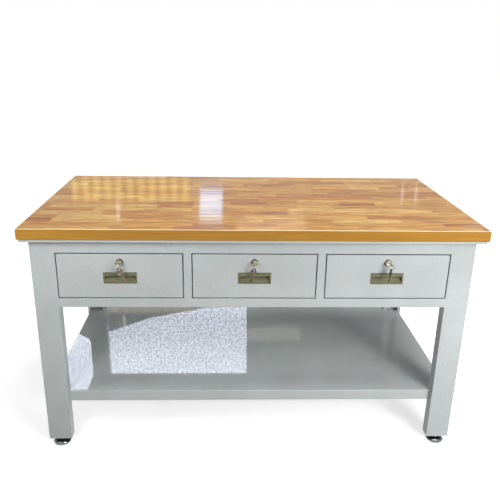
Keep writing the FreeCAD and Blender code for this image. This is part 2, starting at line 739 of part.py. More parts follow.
def inner_member(label, side):
    """The moving member: a hat section on the drawer's side, whose feet run
    behind the lips of the fixed member."""
    body = new_body(label)

    def across(depth):
        return f"({side} * ({BAY} / 2 - {depth}))"

    def level(sign, amount):
        return f"({SLIDE_Z} + {sign} * (slideHeight / 2 - {amount}))"

    wall, inside = across("slideWidth"), across("(slideWidth - slideSheet)")
    foot = across("(slideDepth - slideSheet - slidePlay)")
    foot_back = across("(slideDepth - 2 * slideSheet - slidePlay)")
    neck = "(slideLip + slidePlay)"
    half = [(wall, neck), (foot, neck), (foot, "(slideSheet + slidePlay)"),
            (foot_back, "(slideSheet + slidePlay)"), (foot_back, f"({neck} + slideSheet)"),
            (inside, f"({neck} + slideSheet)")]
    outline = [(x, level(-1, z)) for x, z in half] + [(x, level(1, z)) for x, z in half[::-1]]
    pad(body, "XZ", SLIDE_FRONT, f"{SLIDE_FRONT} + slideLength", outline)
    return body


def make_outer_members():
    members = []
    for name, position in BAYS:
        for side in (-1, 1):
            member = outer_member(f"outer_member_{name}", side)
            place(member, f"{position} * {BAY_PITCH}")
            members.append(member)
    return group("slide_outer_members", members)


def make_inner_members(name, position):
    members = []
    for side in (-1, 1):
        member = inner_member(f"inner_member_{name}", side)
        place(member, f"{position} * {BAY_PITCH}")
        members.append(member)
    return group(f"slide_inner_members_{name}", members)


# ------------------------------------------------------------------------- drawers
def make_drawer_box(name, position):
    """A folded tray with a rim round its sides and back."""
    body = new_body(f"drawer_box_{name}")
    outline = rectangle(f"(0 - {BOX_HALF})", BOX_HALF, BOX_FRONT, f"({BOX_FRONT} + boxDepth)")
    pad(body, "XY", BOX_BOTTOM, BOX_TOP, outline)
    hollow = inset(outline, "boxSheet")
    pocket(body, "XY", f"{BOX_BOTTOM} + boxSheet", f"{BOX_TOP} - boxSheet", hollow)
    round_bends(body, "XY", outline, hollow, "boxBend", "boxSheet")
    mouth = rectangle(f"(boxRim - {BOX_HALF})", f"({BOX_HALF} - boxRim)",
                      f"({BOX_FRONT} + boxSheet)", f"({BOX_FRONT} + boxDepth - boxRim)")
    pocket(body, "XY", f"{BOX_TOP} - boxSheet", BOX_TOP, mouth)
    round_edges(body, edges_on_face(body, "Z", BOX_BOTTOM), "boxBend")
    pocket(body, "XZ", BOX_FRONT, f"{BOX_FRONT} + boxSheet",
           circles=[("0", LOCK_Z, "lockRadius + lockHolePlay")])
    place(body, f"{position} * {BAY_PITCH}")
    return body


def make_drawer_front(name, position):
    """A folded pan with rounded edges, a cut-out for the pull and a lock hole."""
    body = new_body(f"drawer_front_{name}")
    outline = rectangle(f"(frontGap - {BAY} / 2)", f"({BAY} / 2 - frontGap)",
                        f"({OPENING_BOTTOM} + frontGap)", f"({OPENING_TOP} - frontGap)")
    face = f"0 - {FACE}"
    pad(body, "XZ", face, BOX_FRONT, outline)
    round_edges(body, edges_at(body, "XZ", outline), "frontBend")
    round_edges(body, edges_on_face(body, "Y", face), "frontBend")
    pocket(body, "XZ", f"frontSheet - {FACE}", f"{BOX_FRONT} - frontSheet", inset(outline, "frontSheet"))
    pocket(body, "XZ", f"{BOX_FRONT} - frontSheet", BOX_FRONT, inset(outline, "frontLip"))
    cut_out = rectangle("(pullBorder - pullWidth / 2)", "(pullWidth / 2 - pullBorder)",
                        f"({PULL_Z} - pullHeight / 2 + pullBorder)",
                        f"({PULL_Z} + pullHeight / 2 - pullBorder)")
    pocket(body, "XZ", face, f"frontSheet - {FACE}", cut_out)
    pocket(body, "XZ", face, f"frontSheet - {FACE}",
           circles=[("0", LOCK_Z, "lockRadius + lockHolePlay")])
    place(body, f"{position} * {BAY_PITCH}")
    return body


def make_pull(name, position):
    """A recessed pull: a flange, a pocket whose floor slopes back from the lower
    edge, and a band over the pocket's top that the fingers hook behind."""
    body = new_body(f"pull_{name}")
    low, high = f"({PULL_Z} - pullHeight / 2)", f"({PULL_Z} + pullHeight / 2)"
    front, face = f"(0 - {FACE} - pullFlange)", f"(0 - {FACE})"
    flange = rectangle("(0 - pullWidth / 2)", "(pullWidth / 2)", low, high)
    pad(body, "XZ", front, face, flange)
    round_edges(body, edges_at(body, "XZ", flange), "pullCorner")
    round_edges(body, edges_on_face(body, "Y", front), "pullFlange / 2")
    shell_low = f"({low} + pullBorder + pullPlay)"
    shell_high = f"({high} - pullBorder - pullPlay)"
    shell_half = "(pullWidth / 2 - pullBorder - pullPlay)"
    deep = f"(pullDepth - {FACE})"
    shell = [(face, shell_low), (deep, f"{shell_low} + pullSlope"), (deep, shell_high), (face, shell_high)]
    pad(body, "YZ", f"0 - {shell_half}", shell_half, shell)
    band_low = f"({high} - pullBand)"
    band_back = f"({front} + pullBandThick)"
    hollow_low = f"({shell_low} + pullWall)"
    hollow_deep = f"({deep} - pullWall)"
    hollow = [
        (front, hollow_low), (face, hollow_low), (hollow_deep, f"{hollow_low} + pullSlope"),
        (hollow_deep, f"{shell_high} - pullWall"), (band_back, f"{shell_high} - pullWall"),
        (band_back, band_low), (front, band_low),
    ]
    inner_half = f"({shell_half} - pullWall)"
    pocket(body, "YZ", f"0 - {inner_half}", inner_half, hollow)
    place(body, f"{position} * {BAY_PITCH}")
    return body


# --------------------------------------------------------------------------- locks
def make_lock_barrel(name, position):
    """The lock's barrel with its round head, and the nut that clamps it."""
    barrel = new_body(f"barrel_{name}")
    face, head = f"(0 - {FACE})", f"(0 - {FACE} - lockHeadThick)"
    bore = [("0", LOCK_Z, "plugRadius + plugPlay")]
    pad(barrel, "XZ", head, face, circles=[("0", LOCK_Z, "lockHeadRadius")])
    round_edges(barrel, edges_on_face(barrel, "Y", head), "lockHeadEdge")
    end = f"{LOCK_TAIL} - slidePlay"
    pad(barrel, "XZ", face, end, circles=[("0", LOCK_Z, "lockRadius")])
    pocket(barrel, "XZ", head, end, circles=bore)
    nut = drilled(hexagon("0", "0", "0", "nutFlats", "nutThick"),
                  cylinder("0", "0", "0", "lockRadius + plugPlay", "nutThick"))
    turn(nut, (1, 0, 0), -90)
    place(nut, "0", f"frontSheet - {FACE}", LOCK_Z)
    lock = group(f"lock_barrel_{name}", [barrel, nut])
    place(lock, f"{position} * {BAY_PITCH}")
    return lock


def make_lock_plug(name, position):
    """The turning plug with its keyway and the square tail for the cam."""
    body = new_body(f"lock_plug_{name}")
    pad(body, "XZ", PLUG_FACE, LOCK_TAIL, circles=[("0", LOCK_Z, "plugRadius")])
    tail = rectangle("(0 - plugTail / 2)", "(plugTail / 2)",
                     f"({LOCK_Z} - plugTail / 2)", f"({LOCK_Z} + plugTail / 2)")
    pad(body, "XZ", LOCK_TAIL, f"{LOCK_TAIL} + camThick", tail)
    keyway = rectangle("(0 - bladeWidth / 2 - keyPlay)", "(bladeWidth / 2 + keyPlay)",
                       f"({LOCK_Z} - keyThick / 2 - keyPlay)", f"({LOCK_Z} + keyThick / 2 + keyPlay)")
    pocket(body, "XZ", PLUG_FACE, f"{PLUG_FACE} + bladeLength + keyPlay", keyway)
    thread = [("0", LOCK_Z, "camScrewRadius + plugPlay")]
    pocket(body, "XZ", f"{LOCK_TAIL} + camThick - camScrewReach - plugPlay",
           f"{LOCK_TAIL} + camThick", circles=thread)
    place(body, f"{position} * {BAY_PITCH}")
    return body


def make_lock_cam(name, position):
    """The cam, lying flat as it does unlocked, and its screw."""
    cam = new_body(f"cam_{name}")
    half = "(camWidth / 2)"
    outline = rectangle("(0 - camLength)", half, f"({LOCK_Z} - {half})", f"({LOCK_Z} + {half})")
    front, back = LOCK_TAIL, f"({LOCK_TAIL} + camThick)"
    pad(cam, "XZ", front, back, outline)
    round_edges(cam, edges_at(cam, "XZ", outline), "camWidth * 0.45")
    square = "(plugTail / 2 + camPlay)"
    pocket(cam, "XZ", front, back,
           rectangle(f"(0 - {square})", square, f"({LOCK_Z} - {square})", f"({LOCK_Z} + {square})"))
    screw = fused(cylinder("0", "0", "0", "camScrewHead", "camScrewHeadThick"),
                  cylinder("0", "0", "0 - camScrewReach", "camScrewRadius", "camScrewReach"))
    turn(screw, (1, 0, 0), -90)
    place(screw, "0", back, LOCK_Z)
    lock_cam = group(f"lock_cam_{name}", [cam, screw])
    place(lock_cam, f"{position} * {BAY_PITCH}")
    return lock_cam


# ---------------------------------------------------------------------------- keys
def key_body(label):
    """A flat key drawn in the XY plane: the hole of its bow on the origin, its
    blade towards +Y."""
    body = new_body(label)
    end = "(0 - keyStrip - keyHole)"
    waist = [("(bowEnd / 2)", end), ("(bowWidth / 2)", f"{end} + bowWidest"),
             ("(bowWaistWidth / 2)", f"{end} + bowWaist")]
    shoulder, tip = f"({end} + bowLength)", f"({end} + bowLength + bladeLength)"
    blade = [("(bladeWidth / 2)", shoulder), ("(bladeWidth / 2)", f"{tip} - bladeTip"),
             ("(bladeWidth / 2 - bladeTip)", tip)]
    right = waist + blade
    left = [(f"(0 - {x})", y) for x, y in right[::-1]]
    low, high = "0 - keyThick / 2", "keyThick / 2"
    pad(body, "XY", low, high, right + left)
    corners = waist + left[-3:]
    round_edges(body, edges_at(body, "XY", corners), "bowCorner")
    pocket(body, "XY", low, high, circles=[("0", "0", "keyHole")])
    for i, share in enumerate((1, 0.5, 0.8, 0.4)):
        middle = f"({shoulder} + {i + 1} * cutPitch)"
        notch = [("(bladeWidth / 2)", f"{middle} - cutPitch / 2"), ("(bladeWidth / 2)", f"{middle} + cutPitch / 2"),
                 (f"(bladeWidth / 2 - {share} * cutDepth)", middle)]
        pocket(body, "XY", low, high, notch)
    return body


def make_key(name, position):
    """The key in the lock, its bow lying flat."""
    body = key_body(f"key_{name}")
    place(body, f"{position} * {BAY_PITCH}",
          f"{PLUG_FACE} - keyShoulderGap - {HOLE_TO_SHOULDER}", LOCK_Z)
    return body


HOLE_Y = f"({PLUG_FACE} - keyShoulderGap - {HOLE_TO_SHOULDER})"
HANG = "(keyHole - ringWire - sparePlay)"  # hole's middle below the ring's lowest wire
STRIP = "(keyHole + keyStrip / 2)"  # hole's middle to the middle of the metal round it


def ring_place(position, azimuth):
    """The middle of a ring that hangs on the metal between the bow's hole and its
    rim, at an azimuth from the bow's end."""
    x = f"({position} * {BAY_PITCH} + {STRIP} * sin({azimuth}))"
    y = f"({HOLE_Y} - {STRIP} * cos({azimuth}))"
    return x, y, f"({LOCK_Z} + keyThick / 2 + ringPlay + ringWire - ringRadius)"


def make_key_ring(name, position, azimuth):
    """A ring through the bow's hole, in the upright plane through that azimuth."""
    ring = doc.addObject("Part::Torus", f"key_ring_{name}")
    ring.Label = f"key_ring_{name}"
    bind(ring, "Radius1", "ringRadius")
    bind(ring, "Radius2", "ringWire")
    upright = FreeCAD.Rotation(FreeCAD.Vector(0, 1, 0), 90)
    ring.Placement.Rotation = FreeCAD.Rotation(FreeCAD.Vector(0, 0, 1), number(azimuth)) * upright
    place(ring, *ring_place(position, azimuth))
    return ring


def make_spare_key(name, position, azimuth, lean):
    """The spare key hangs on the ring, leaning as it came to rest. It turns about
    the wire at the ring's lowest point."""
    body = key_body(f"spare_key_{name}")
    x, y, z = ring_place(position, azimuth)
    pivot = FreeCAD.Vector(number(x), number(y), number(f"{z} - ringRadius"))
    local = FreeCAD.Vector(0, -number(HANG), 0)
    down = FreeCAD.Rotation(FreeCAD.Vector(1, 0, 0), -90)
    tilt = FreeCAD.Rotation(FreeCAD.Vector(0, 1, 0), -number(lean))
    facing = FreeCAD.Rotation(FreeCAD.Vector(0, 0, 1), number(azimuth))
    body.Placement = FreeCAD.Placement(pivot - local, facing * tilt * down, local)
    return body


# --------------------------------------------------------------------------- shelf
def shelf_outline(less):
    """The shelf's outline with its corners notched round the legs, made smaller
    on every side."""
    wide, narrow = f"({SHELF_X} - {less})", f"({LEG_INNER} - {less})"

    def corner(across, along, edge, leg):
        return [(f"({across} * {wide})", f"({along} * ({leg} - {less}))"),
                (f"({across} * {narrow})", f"({along} * ({leg} - {less}))"),
                (f"({across} * {narrow})", f"({along} * ({edge} - {less}))")]

    return (corner(1, 1, SHELF_REAR, REAR_LEG_BACK) + corner(-1, 1, SHELF_REAR, REAR_LEG_BACK)[::-1]
            + corner(-1, -1, SHELF_FRONT, LEG_BACK) + corner(1, -1, SHELF_FRONT, LEG_BACK)[::-1])


def make_shelf():
    """A tray folded down all round with a return, notched round the legs."""
    body = new_body("shelf")
    low = "(shelfTop - shelfLip)"
    pad(body, "XY", low, "shelfTop", shelf_outline("0"))
    long_edges = [(f"0 - {SHELF_FRONT}", "shelfTop"), (SHELF_REAR, "shelfTop")]
    end_edges = [(f"{side} * {SHELF_X}", "shelfTop") for side in (-1, 1)]
    names = edges_at(body, "YZ", long_edges) + edges_at(body, "XZ", end_edges)
    round_edges(body, names, "shelfBend")
    pocket(body, "XY", f"{low} + shelfSheet", "shelfTop - shelfSheet", shelf_outline("shelfSheet"))
    pocket(body, "XY", low, f"{low} + shelfSheet", shelf_outline("shelfReturn"))
    return body


def make_shelf_ribs():
    """Hat-section ribs under the shelf's sheet, from its front edge to its rear."""
    ribs = []
    top, low = "(shelfTop - shelfSheet)", "(shelfTop - shelfSheet - ribHeight)"
    half, foot = "(ribWidth / 2)", "(ribWidth / 2 + ribFoot)"
    right = [(half, f"{low}"), (half, f"{top} - ribSheet"), (foot, f"{top} - ribSheet"), (foot, top),
             (f"({half} - ribSheet)", top), (f"({half} - ribSheet)", f"{low} + ribSheet")]
    left = [(f"(0 - {x})", z) for x, z in right[::-1]]
    for i in (-1, 0, 1):
        rib = new_body("rib")
        pad(rib, "XZ", f"shelfSheet - {SHELF_FRONT}", f"{SHELF_REAR} - shelfSheet", right + left)
        place(rib, f"{i} * ribSpacing")
        ribs.append(rib)
    return group("shelf_ribs", ribs)


# ---------------------------------------------------------------------------- feet
def make_base_plates():
    """A plate in the end of each leg, with a nut welded on it."""
    plates = []
    for _, side, end in CORNERS:
        x, y = f"{side} * {FOOT_X}", FOOT_Y[end]
        plate = doc.addObject("Part::Box", "Plate")
        bind(plate, "Length", "legWidth - 2 * frameBend")
        bind(plate, "Width", "legDepth - 2 * frameSheet")
        bind(plate, "Height", "plateThick")
        nearer = f"(frameSheet - {FACE})" if end < 0 else f"({REAR_LEG_BACK} + frameSheet)"
        place(plate, f"{x} - legWidth / 2 + frameBend", nearer, "legLift")
        nut = hexagon(x, y, "legLift + plateThick", "footNutFlats", "weldNutThick")
        hole = cylinder(x, y, "legLift", "studRadius + studPlay", "plateThick + weldNutThick")
        plates.append(drilled(fused(plate, nut), hole))
    return group("leg_base_plates", plates)


def make_foot_nuts():
    nuts = []
    for _, side, end in CORNERS:
        x, y = f"{side} * {FOOT_X}", FOOT_Y[end]
        z = "legLift - footNutThick"
        hole = cylinder(x, y, z, "studRadius + studPlay", "footNutThick")
        nuts.append(drilled(hexagon(x, y, z, "footNutFlats", "footNutThick"), hole))
    return group("foot_lock_nuts", nuts)


def make_foot(name, side, end):
    """A domed cup with a collar, a pad under it, and the threaded stud."""
    cup = new_body(f"cup_{name}")
    bore = "(studRadius + studPlay)"
    outline = [
        (bore, "padThick"), ("padRadius + padPlay", "padThick"), ("padRadius + padPlay", "footRise"),
        ("footFace", "footRise", "(footRadius - footFace)", "left"),
        ("footRadius", "(footRise + footRadius - footFace)"),
        ("footRadius", "footShoulder", "footDome", "left"),
        ("footCollar", "(footHeight - footEdge)"),
        ("footCollar", "footHeight"), (bore, "footHeight"),
    ]
    revolve(cup, outline)
    pad_under = cylinder("0", "0", "0", "padRadius", "padThick")
    stud = cylinder("0", "0", "padThick", "studRadius", "studTop - padThick")
    foot = group(f"foot_{name}", [cup, stud, pad_under])
    place(foot, f"{side} * {FOOT_X}", FOOT_Y[end], "0")
    return foot


# ------------------------------------------------------------------------ assembly
keep(make_worktop())
keep(make_edge_bands())
keep(make_top_pan())
keep(make_worktop_screws())
for corner, side_x, side_y in CORNERS:
    keep(make_leg(corner, side_x, side_y))
    keep(make_foot(corner, side_x, side_y))
keep(make_base_plates())
keep(make_foot_nuts())
keep(make_rail("front_top_rail", -1, OPENING_TOP, PAN_UNDER, False))
keep(make_rail("front_bottom_rail", -1, APRON_BOTTOM, OPENING_BOTTOM, True))
keep(make_rail("rear_panel", 1, REAR_BOTTOM, PAN_UNDER, False))
for hand, sign in (("left", -1), ("right", 1)):
    keep(make_divider(hand, sign))
    keep(make_side_panel(hand, sign))
    keep(make_inner_carrier(hand, sign))
    keep(make_outer_carrier(hand, sign))
keep(make_frame_welds())
keep(make_outer_members())
keep(make_shelf())
keep(make_shelf_ribs())
for hand, bay in BAYS:
    azimuth_name, lean_name = "turn" + hand.capitalize(), "lean" + hand.capitalize()
    keep(make_drawer_box(hand, bay))
    keep(make_drawer_front(hand, bay))
    keep(make_pull(hand, bay))
    keep(make_inner_members(hand, bay))
    keep(make_lock_barrel(hand, bay))
    keep(make_lock_plug(hand, bay))
    keep(make_lock_cam(hand, bay))
    keep(make_key(hand, bay))
    keep(make_key_ring(hand, bay, azimuth_name))
    keep(make_spare_key(hand, bay, azimuth_name, lean_name))
doc.recompute()

# --------------------------------------------------------------- checks and export
for thing in doc.Objects:
    if {"Invalid", "Error"} & set(thing.State):
        raise RuntimeError(f"{thing.Label} ({thing.Name}) did not build: {thing.State}")
for thing in nodes:
    if thing.Shape.isNull() or not thing.Shape.isValid() or not thing.Shape.Solids:
        raise RuntimeError(f"{thing.Label} has no valid solid")
for thing in nodes:
    thing.Shape.exportStep(f"parts/{thing.Label}.step")
print(f"{len(nodes)} nodes written")
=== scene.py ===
import math
import bmesh
import bpy
from mathutils import Matrix, Vector


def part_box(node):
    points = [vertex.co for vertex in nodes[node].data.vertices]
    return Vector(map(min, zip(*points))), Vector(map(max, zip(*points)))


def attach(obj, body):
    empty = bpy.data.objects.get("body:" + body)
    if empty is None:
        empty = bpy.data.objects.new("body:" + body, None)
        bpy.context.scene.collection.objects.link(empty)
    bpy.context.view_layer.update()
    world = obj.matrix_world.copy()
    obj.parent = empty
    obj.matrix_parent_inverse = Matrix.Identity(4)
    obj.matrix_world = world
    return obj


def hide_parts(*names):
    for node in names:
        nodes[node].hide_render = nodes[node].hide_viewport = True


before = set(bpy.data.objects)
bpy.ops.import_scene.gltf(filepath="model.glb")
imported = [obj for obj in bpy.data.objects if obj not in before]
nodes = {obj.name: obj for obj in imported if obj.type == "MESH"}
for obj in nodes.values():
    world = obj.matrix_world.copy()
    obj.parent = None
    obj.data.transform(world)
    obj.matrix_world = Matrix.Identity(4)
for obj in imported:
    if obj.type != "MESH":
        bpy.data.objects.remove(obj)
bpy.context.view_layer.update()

mm = 0.001
hands = ("left", "middle", "right")
corners = ("front_left", "front_right", "rear_left", "rear_right")
print("frame loaded:", len(nodes), "parts")


# colours, nodes and small mesh tools

def hexColor(text):
    # sRGB hex to the linear values that sockets take
    parts = [int(text[i:i + 2], 16) / 255 for i in (1, 3, 5)]
    linear = [p / 12.92 if p <= 0.04045 else ((p + 0.055) / 1.055) ** 2.4 for p in parts]
    return (*linear, 1.0)


def perMetre(*sizes):
    # a Mapping node's scale for a pattern whose cells are so many millimetres long
    return tuple(1000 / size for size in sizes)


def addNode(tree, kind, settings=None, inputs=None):
    # an input takes a value, a socket, a node (its first output) or a list of nodes
    node = tree.nodes.new(kind)
    for name, value in (settings or {}).items():
        setattr(node, name, value)
    for key, value in (inputs or {}).items():
        for item in value if isinstance(value, list) else [value]:
            source = item.outputs[0] if isinstance(item, bpy.types.Node) else item
            if isinstance(source, bpy.types.NodeSocket):
                tree.links.new(source, node.inputs[key])
            else:
                node.inputs[key].default_value = source
    return node


def newMaterial(name, **uniform):
    # uniform values go straight on the shader's own sockets
    material = bpy.data.materials.new(name)
    material.use_nodes = True
    tree = material.node_tree
    tree.nodes.clear()
    shader = addNode(tree, "ShaderNodeBsdfPrincipled")
    addNode(tree, "ShaderNodeOutputMaterial", None, {"Surface": shader})
    for label, value in uniform.items():
        shader.inputs[label.replace("_", " ")].default_value = value
    place = addNode(tree, "ShaderNodeTexCoord").outputs["Object"]
    return material, tree, shader, place


def paint(names, material):
    for name in names:
        mesh = nodes[name].data
        mesh.materials.clear()
        mesh.materials.append(material)


def finishMesh(build, name, material, sharpAngle=35):
    # smooth shading with hard edges where faces meet steeply
    bmesh.ops.recalc_face_normals(build, faces=build.faces)
    mesh = bpy.data.meshes.new(name)
    build.to_mesh(mesh)
    build.free()
    mesh.polygons.foreach_set("use_smooth", [True] * len(mesh.polygons))
    mesh.set_sharp_from_angle(angle=math.radians(sharpAngle))
    mesh.materials.append(material)
    piece = bpy.data.objects.new(name, mesh)
    bpy.context.scene.collection.objects.link(piece)
    return piece


def lathe(build, profile, centre, steps):
    # profile is (radius, height) pairs in millimetres, turned about a vertical axis
    rings = []
    for radius, height in profile:
        ring = []
        for i in range(steps):
            angle = 2 * math.pi * i / steps
            ring.append(build.verts.new((centre[0] + radius * mm * math.cos(angle),
                                         centre[1] + radius * mm * math.sin(angle),
                                         centre[2] + height * mm)))
        rings.append(ring)
    for low, high in zip(rings, rings[1:]):
        for i in range(steps):
            j = (i + 1) % steps
            build.faces.new((low[i], low[j], high[j], high[i]))
    return rings


def arcPoints(centre, radius, start, end, steps):
    # points of an arc in degrees, for a lathe's profile
    found = []
    for i in range(steps + 1):
        angle = math.radians(start + (end - start) * i / steps)
        found.append((centre[0] + radius * math.cos(angle), centre[1] + radius * math.sin(angle)))
    return found


# varnished rubberwood board, sanded and brush-varnished: golden staves with a few redder
# ones, fine wavy grain and short pores, under a hard gloss that ripples over each stave

boardWood = {
    "staveWidth": 42.0,      # mm across the grain
    "staveShortest": 120.0,  # mm along the grain
    "staveSpread": 170.0,    # mm that a row's staves may be longer
    "fingerPitch": 5.0, "fingerLength": 9.0,
    # mm, one cell of each pattern; fibre and pores are coarser than rubberwood's, so they show
    "fibre": (80.0, 4.0, 4.0), "streak": (140.0, 12.0, 12.0),
    "pore": (16.0, 1.6, 1.6), "cloud": (90.0, 20.0, 20.0), "cloudShade": (0.88, 1.12),
    # m: how far rows slide, staves and rings jump in the log, the heart lies off and below
    "rowSlide": 3.0, "logJump": 7.0, "ringSlide": 9.0, "heartOff": 0.03, "heartBelow": (0.012, 0.05),
    # shares: how the heart dives along the stave, rings and seams darken, staves stand unevenly
    "ringDive": 0.012, "ringShade": 0.25, "seamShade": 0.16, "staveStep": 0.7,
    "ringSpacing": 6.0, "ringStretch": 0.05,
    "cupping": 0.07, "ripple": (110.0, 10.0, 10.0), "rippleDepth": 0.035,
    "seam": 0.6, "seamTone": "#8A5528",
    "tones": [(0.0, "#B87131"), (0.08, "#C9873E"), (0.22, "#D59846"), (0.45, "#E0A84F"),
              (0.7, "#E9B358"), (0.88, "#EFBE65"), (1.0, "#F4CD7B")],
    "grainTint": "#C6AE96", "poreTint": "#8C5A34",
    "roughness": 0.36, "varnishRoughness": 0.08,
}


def makeBoardWood(s):
    material, tree, shader, place = newMaterial(
        "varnishedRubberwood", Roughness=s["roughness"], IOR=1.45, Specular_IOR_Level=0.2,
        Coat_Weight=1.0, Coat_Roughness=s["varnishRoughness"], Coat_IOR=1.5)
    width = s["staveWidth"] * mm
    x, y, z = addNode(tree, "ShaderNodeSeparateXYZ", None, {0: place}).outputs
    # which row, and which stave in it
    across = addNode(tree, "ShaderNodeMath", {"operation": "DIVIDE"}, {0: y, 1: width})
    row = addNode(tree, "ShaderNodeMath", {"operation": "FLOOR"}, {0: across})
    inRow = addNode(tree, "ShaderNodeMath", {"operation": "FRACT"}, {0: across})
    rowDice = addNode(tree, "ShaderNodeTexWhiteNoise", {"noise_dimensions": "1D"}, {"W": row})
    rowShare = addNode(tree, "ShaderNodeSeparateColor", None, {0: rowDice.outputs["Color"]}).outputs
    length = addNode(tree, "ShaderNodeMath", {"operation": "MULTIPLY_ADD"},
                     {0: rowShare[0], 1: s["staveSpread"] * mm, 2: s["staveShortest"] * mm})
    # finger joints cut the ends into a zigzag
    fingers = addNode(tree, "ShaderNodeMath", {"operation": "PINGPONG"}, {0: y, 1: s["fingerPitch"] * mm / 2})
    zigzag = addNode(tree, "ShaderNodeMath", {"operation": "MULTIPLY_ADD"},
                     {0: fingers, 1: s["fingerLength"] / (s["fingerPitch"] / 2), 2: x})
    shifted = addNode(tree, "ShaderNodeMath", {"operation": "MULTIPLY_ADD"},
                      {0: rowShare[1], 1: s["rowSlide"], 2: zigzag})
    ahead = addNode(tree, "ShaderNodeMath", {"operation": "ADD"}, {0: shifted, 1: 5.0})
    along = addNode(tree, "ShaderNodeMath", {"operation": "DIVIDE"}, {0: ahead, 1: length})
    stave = addNode(tree, "ShaderNodeMath", {"operation": "FLOOR"}, {0: along})
    inStave = addNode(tree, "ShaderNodeMath", {"operation": "FRACT"}, {0: along})
    identity = addNode(tree, "ShaderNodeCombineXYZ", None, {0: row, 1: stave, 2: 0.37})
    dice = addNode(tree, "ShaderNodeTexWhiteNoise", {"noise_dimensions": "3D"}, {"Vector": identity})
    share = addNode(tree, "ShaderNodeSeparateColor", None, {0: dice.outputs["Color"]}).outputs
    tones = addNode(tree, "ShaderNodeValToRGB", None, {0: dice.outputs["Value"]})
    stops = tones.color_ramp.elements
    for position, colour in s["tones"][1:-1]:
        stops.new(position).color = hexColor(colour)
    stops[0].color = hexColor(s["tones"][0][1])
    stops[-1].color = hexColor(s["tones"][-1][1])
    # each stave is cut from another place of the log
    jump = addNode(tree, "ShaderNodeVectorMath", {"operation": "SCALE"},
                   {0: dice.outputs["Color"], "Scale": s["logJump"]})
    own = addNode(tree, "ShaderNodeVectorMath", {"operation": "ADD"}, {0: place, 1: jump})
    found = {}
    for pattern, detail in (("fibre", 4.0), ("streak", 3.0), ("pore", 2.0), ("cloud", 2.0)):
        cells = addNode(tree, "ShaderNodeMapping", None, {"Vector": own, "Scale": perMetre(*s[pattern])})
        found[pattern] = addNode(tree, "ShaderNodeTexNoise", None,
                                 {"Vector": cells, "Scale": 1.0, "Detail": detail, "Roughness": 0.6})
    # growth rings round a heart that lies below the stave
    centred = addNode(tree, "ShaderNodeMath", {"operation": "SUBTRACT"}, {0: inRow, 1: 0.5})
    off, (near, deep) = s["heartOff"], s["heartBelow"]
    heart = addNode(tree, "ShaderNodeMath", {"operation": "MULTIPLY_ADD"}, {0: share[0], 1: 2 * off, 2: -off})
    ringY = addNode(tree, "ShaderNodeMath", {"operation": "MULTIPLY_ADD"}, {0: centred, 1: width, 2: heart})
    heartDepth = addNode(tree, "ShaderNodeMath", {"operation": "MULTIPLY_ADD"},
                         {0: share[1], 1: -deep, 2: -near})
    ringZ = addNode(tree, "ShaderNodeMath", {"operation": "MULTIPLY_ADD"},
                    {0: x, 1: -s["ringDive"], 2: heartDepth})
    slid = addNode(tree, "ShaderNodeMath", {"operation": "MULTIPLY_ADD"},
                   {0: share[2], 1: s["ringSlide"], 2: x})
    ringX = addNode(tree, "ShaderNodeMath", {"operation": "MULTIPLY"}, {0: slid, 1: s["ringStretch"]})
    ringPlace = addNode(tree, "ShaderNodeCombineXYZ", None, {0: ringX, 1: ringY, 2: ringZ})
    rings = addNode(tree, "ShaderNodeTexWave", {"wave_type": "RINGS", "rings_direction": "X"},
                    {"Vector": ringPlace, "Scale": 2 * math.pi / (20 * s["ringSpacing"] * mm),
                     "Distortion": 3.0, "Detail": 3.0, "Detail Scale": 0.4}).outputs["Fac"]
    # grain darkens towards a redder brown
    colour = tones.outputs[0]
    for pattern, clear, full, most, tint in (
            (rings, 0.55, 0.0, s["ringShade"], "grainTint"), (found["streak"], 0.56, 0.34, 0.8, "grainTint"),
            (found["fibre"], 0.56, 0.36, 0.8, "grainTint"), (found["pore"], 0.4, 0.3, 0.7, "poreTint")):
        amount = addNode(tree, "ShaderNodeMapRange", None,
                         {"Value": pattern, "From Min": clear, "From Max": full, "To Min": 0.0, "To Max": most})
        colour = addNode(tree, "ShaderNodeMix", {"data_type": "RGBA", "blend_type": "MULTIPLY"},
                         {0: amount, 6: colour, 7: hexColor(s[tint])}).outputs[2]
    darkest, palest = s["cloudShade"]
    light = addNode(tree, "ShaderNodeMapRange", None,
                    {"Value": found["cloud"], "From Min": 0.3, "From Max": 0.7,
                     "To Min": darkest, "To Max": palest})
    colour = addNode(tree, "ShaderNodeVectorMath", {"operation": "SCALE"}, {0: colour, "Scale": light})
    # glue lines between the rows and at the fingers
    otherSide = addNode(tree, "ShaderNodeMath", {"operation": "SUBTRACT"}, {0: 1.0, 1: inRow})
    edge = addNode(tree, "ShaderNodeMath", {"operation": "MINIMUM"}, {0: inRow, 1: otherSide})
    sideSeam = addNode(tree, "ShaderNodeMath", {"operation": "LESS_THAN"},
                       {0: edge, 1: s["seam"] / s["staveWidth"] / 2})
    fromStart = addNode(tree, "ShaderNodeMath", {"operation": "MULTIPLY"}, {0: inStave, 1: length})
    endSeam = addNode(tree, "ShaderNodeMath", {"operation": "LESS_THAN"}, {0: fromStart, 1: s["seam"] * mm})
    seam = addNode(tree, "ShaderNodeMath", {"operation": "MAXIMUM"}, {0: sideSeam, 1: endSeam})
    seamPart = addNode(tree, "ShaderNodeMath", {"operation": "MULTIPLY"}, {0: seam, 1: s["seamShade"]})
    colour = addNode(tree, "ShaderNodeMix", {"data_type": "RGBA"},
                     {0: seamPart, 6: colour, 7: hexColor(s["seamTone"])}).outputs[2]
    tree.links.new(colour, shader.inputs["Base Color"])
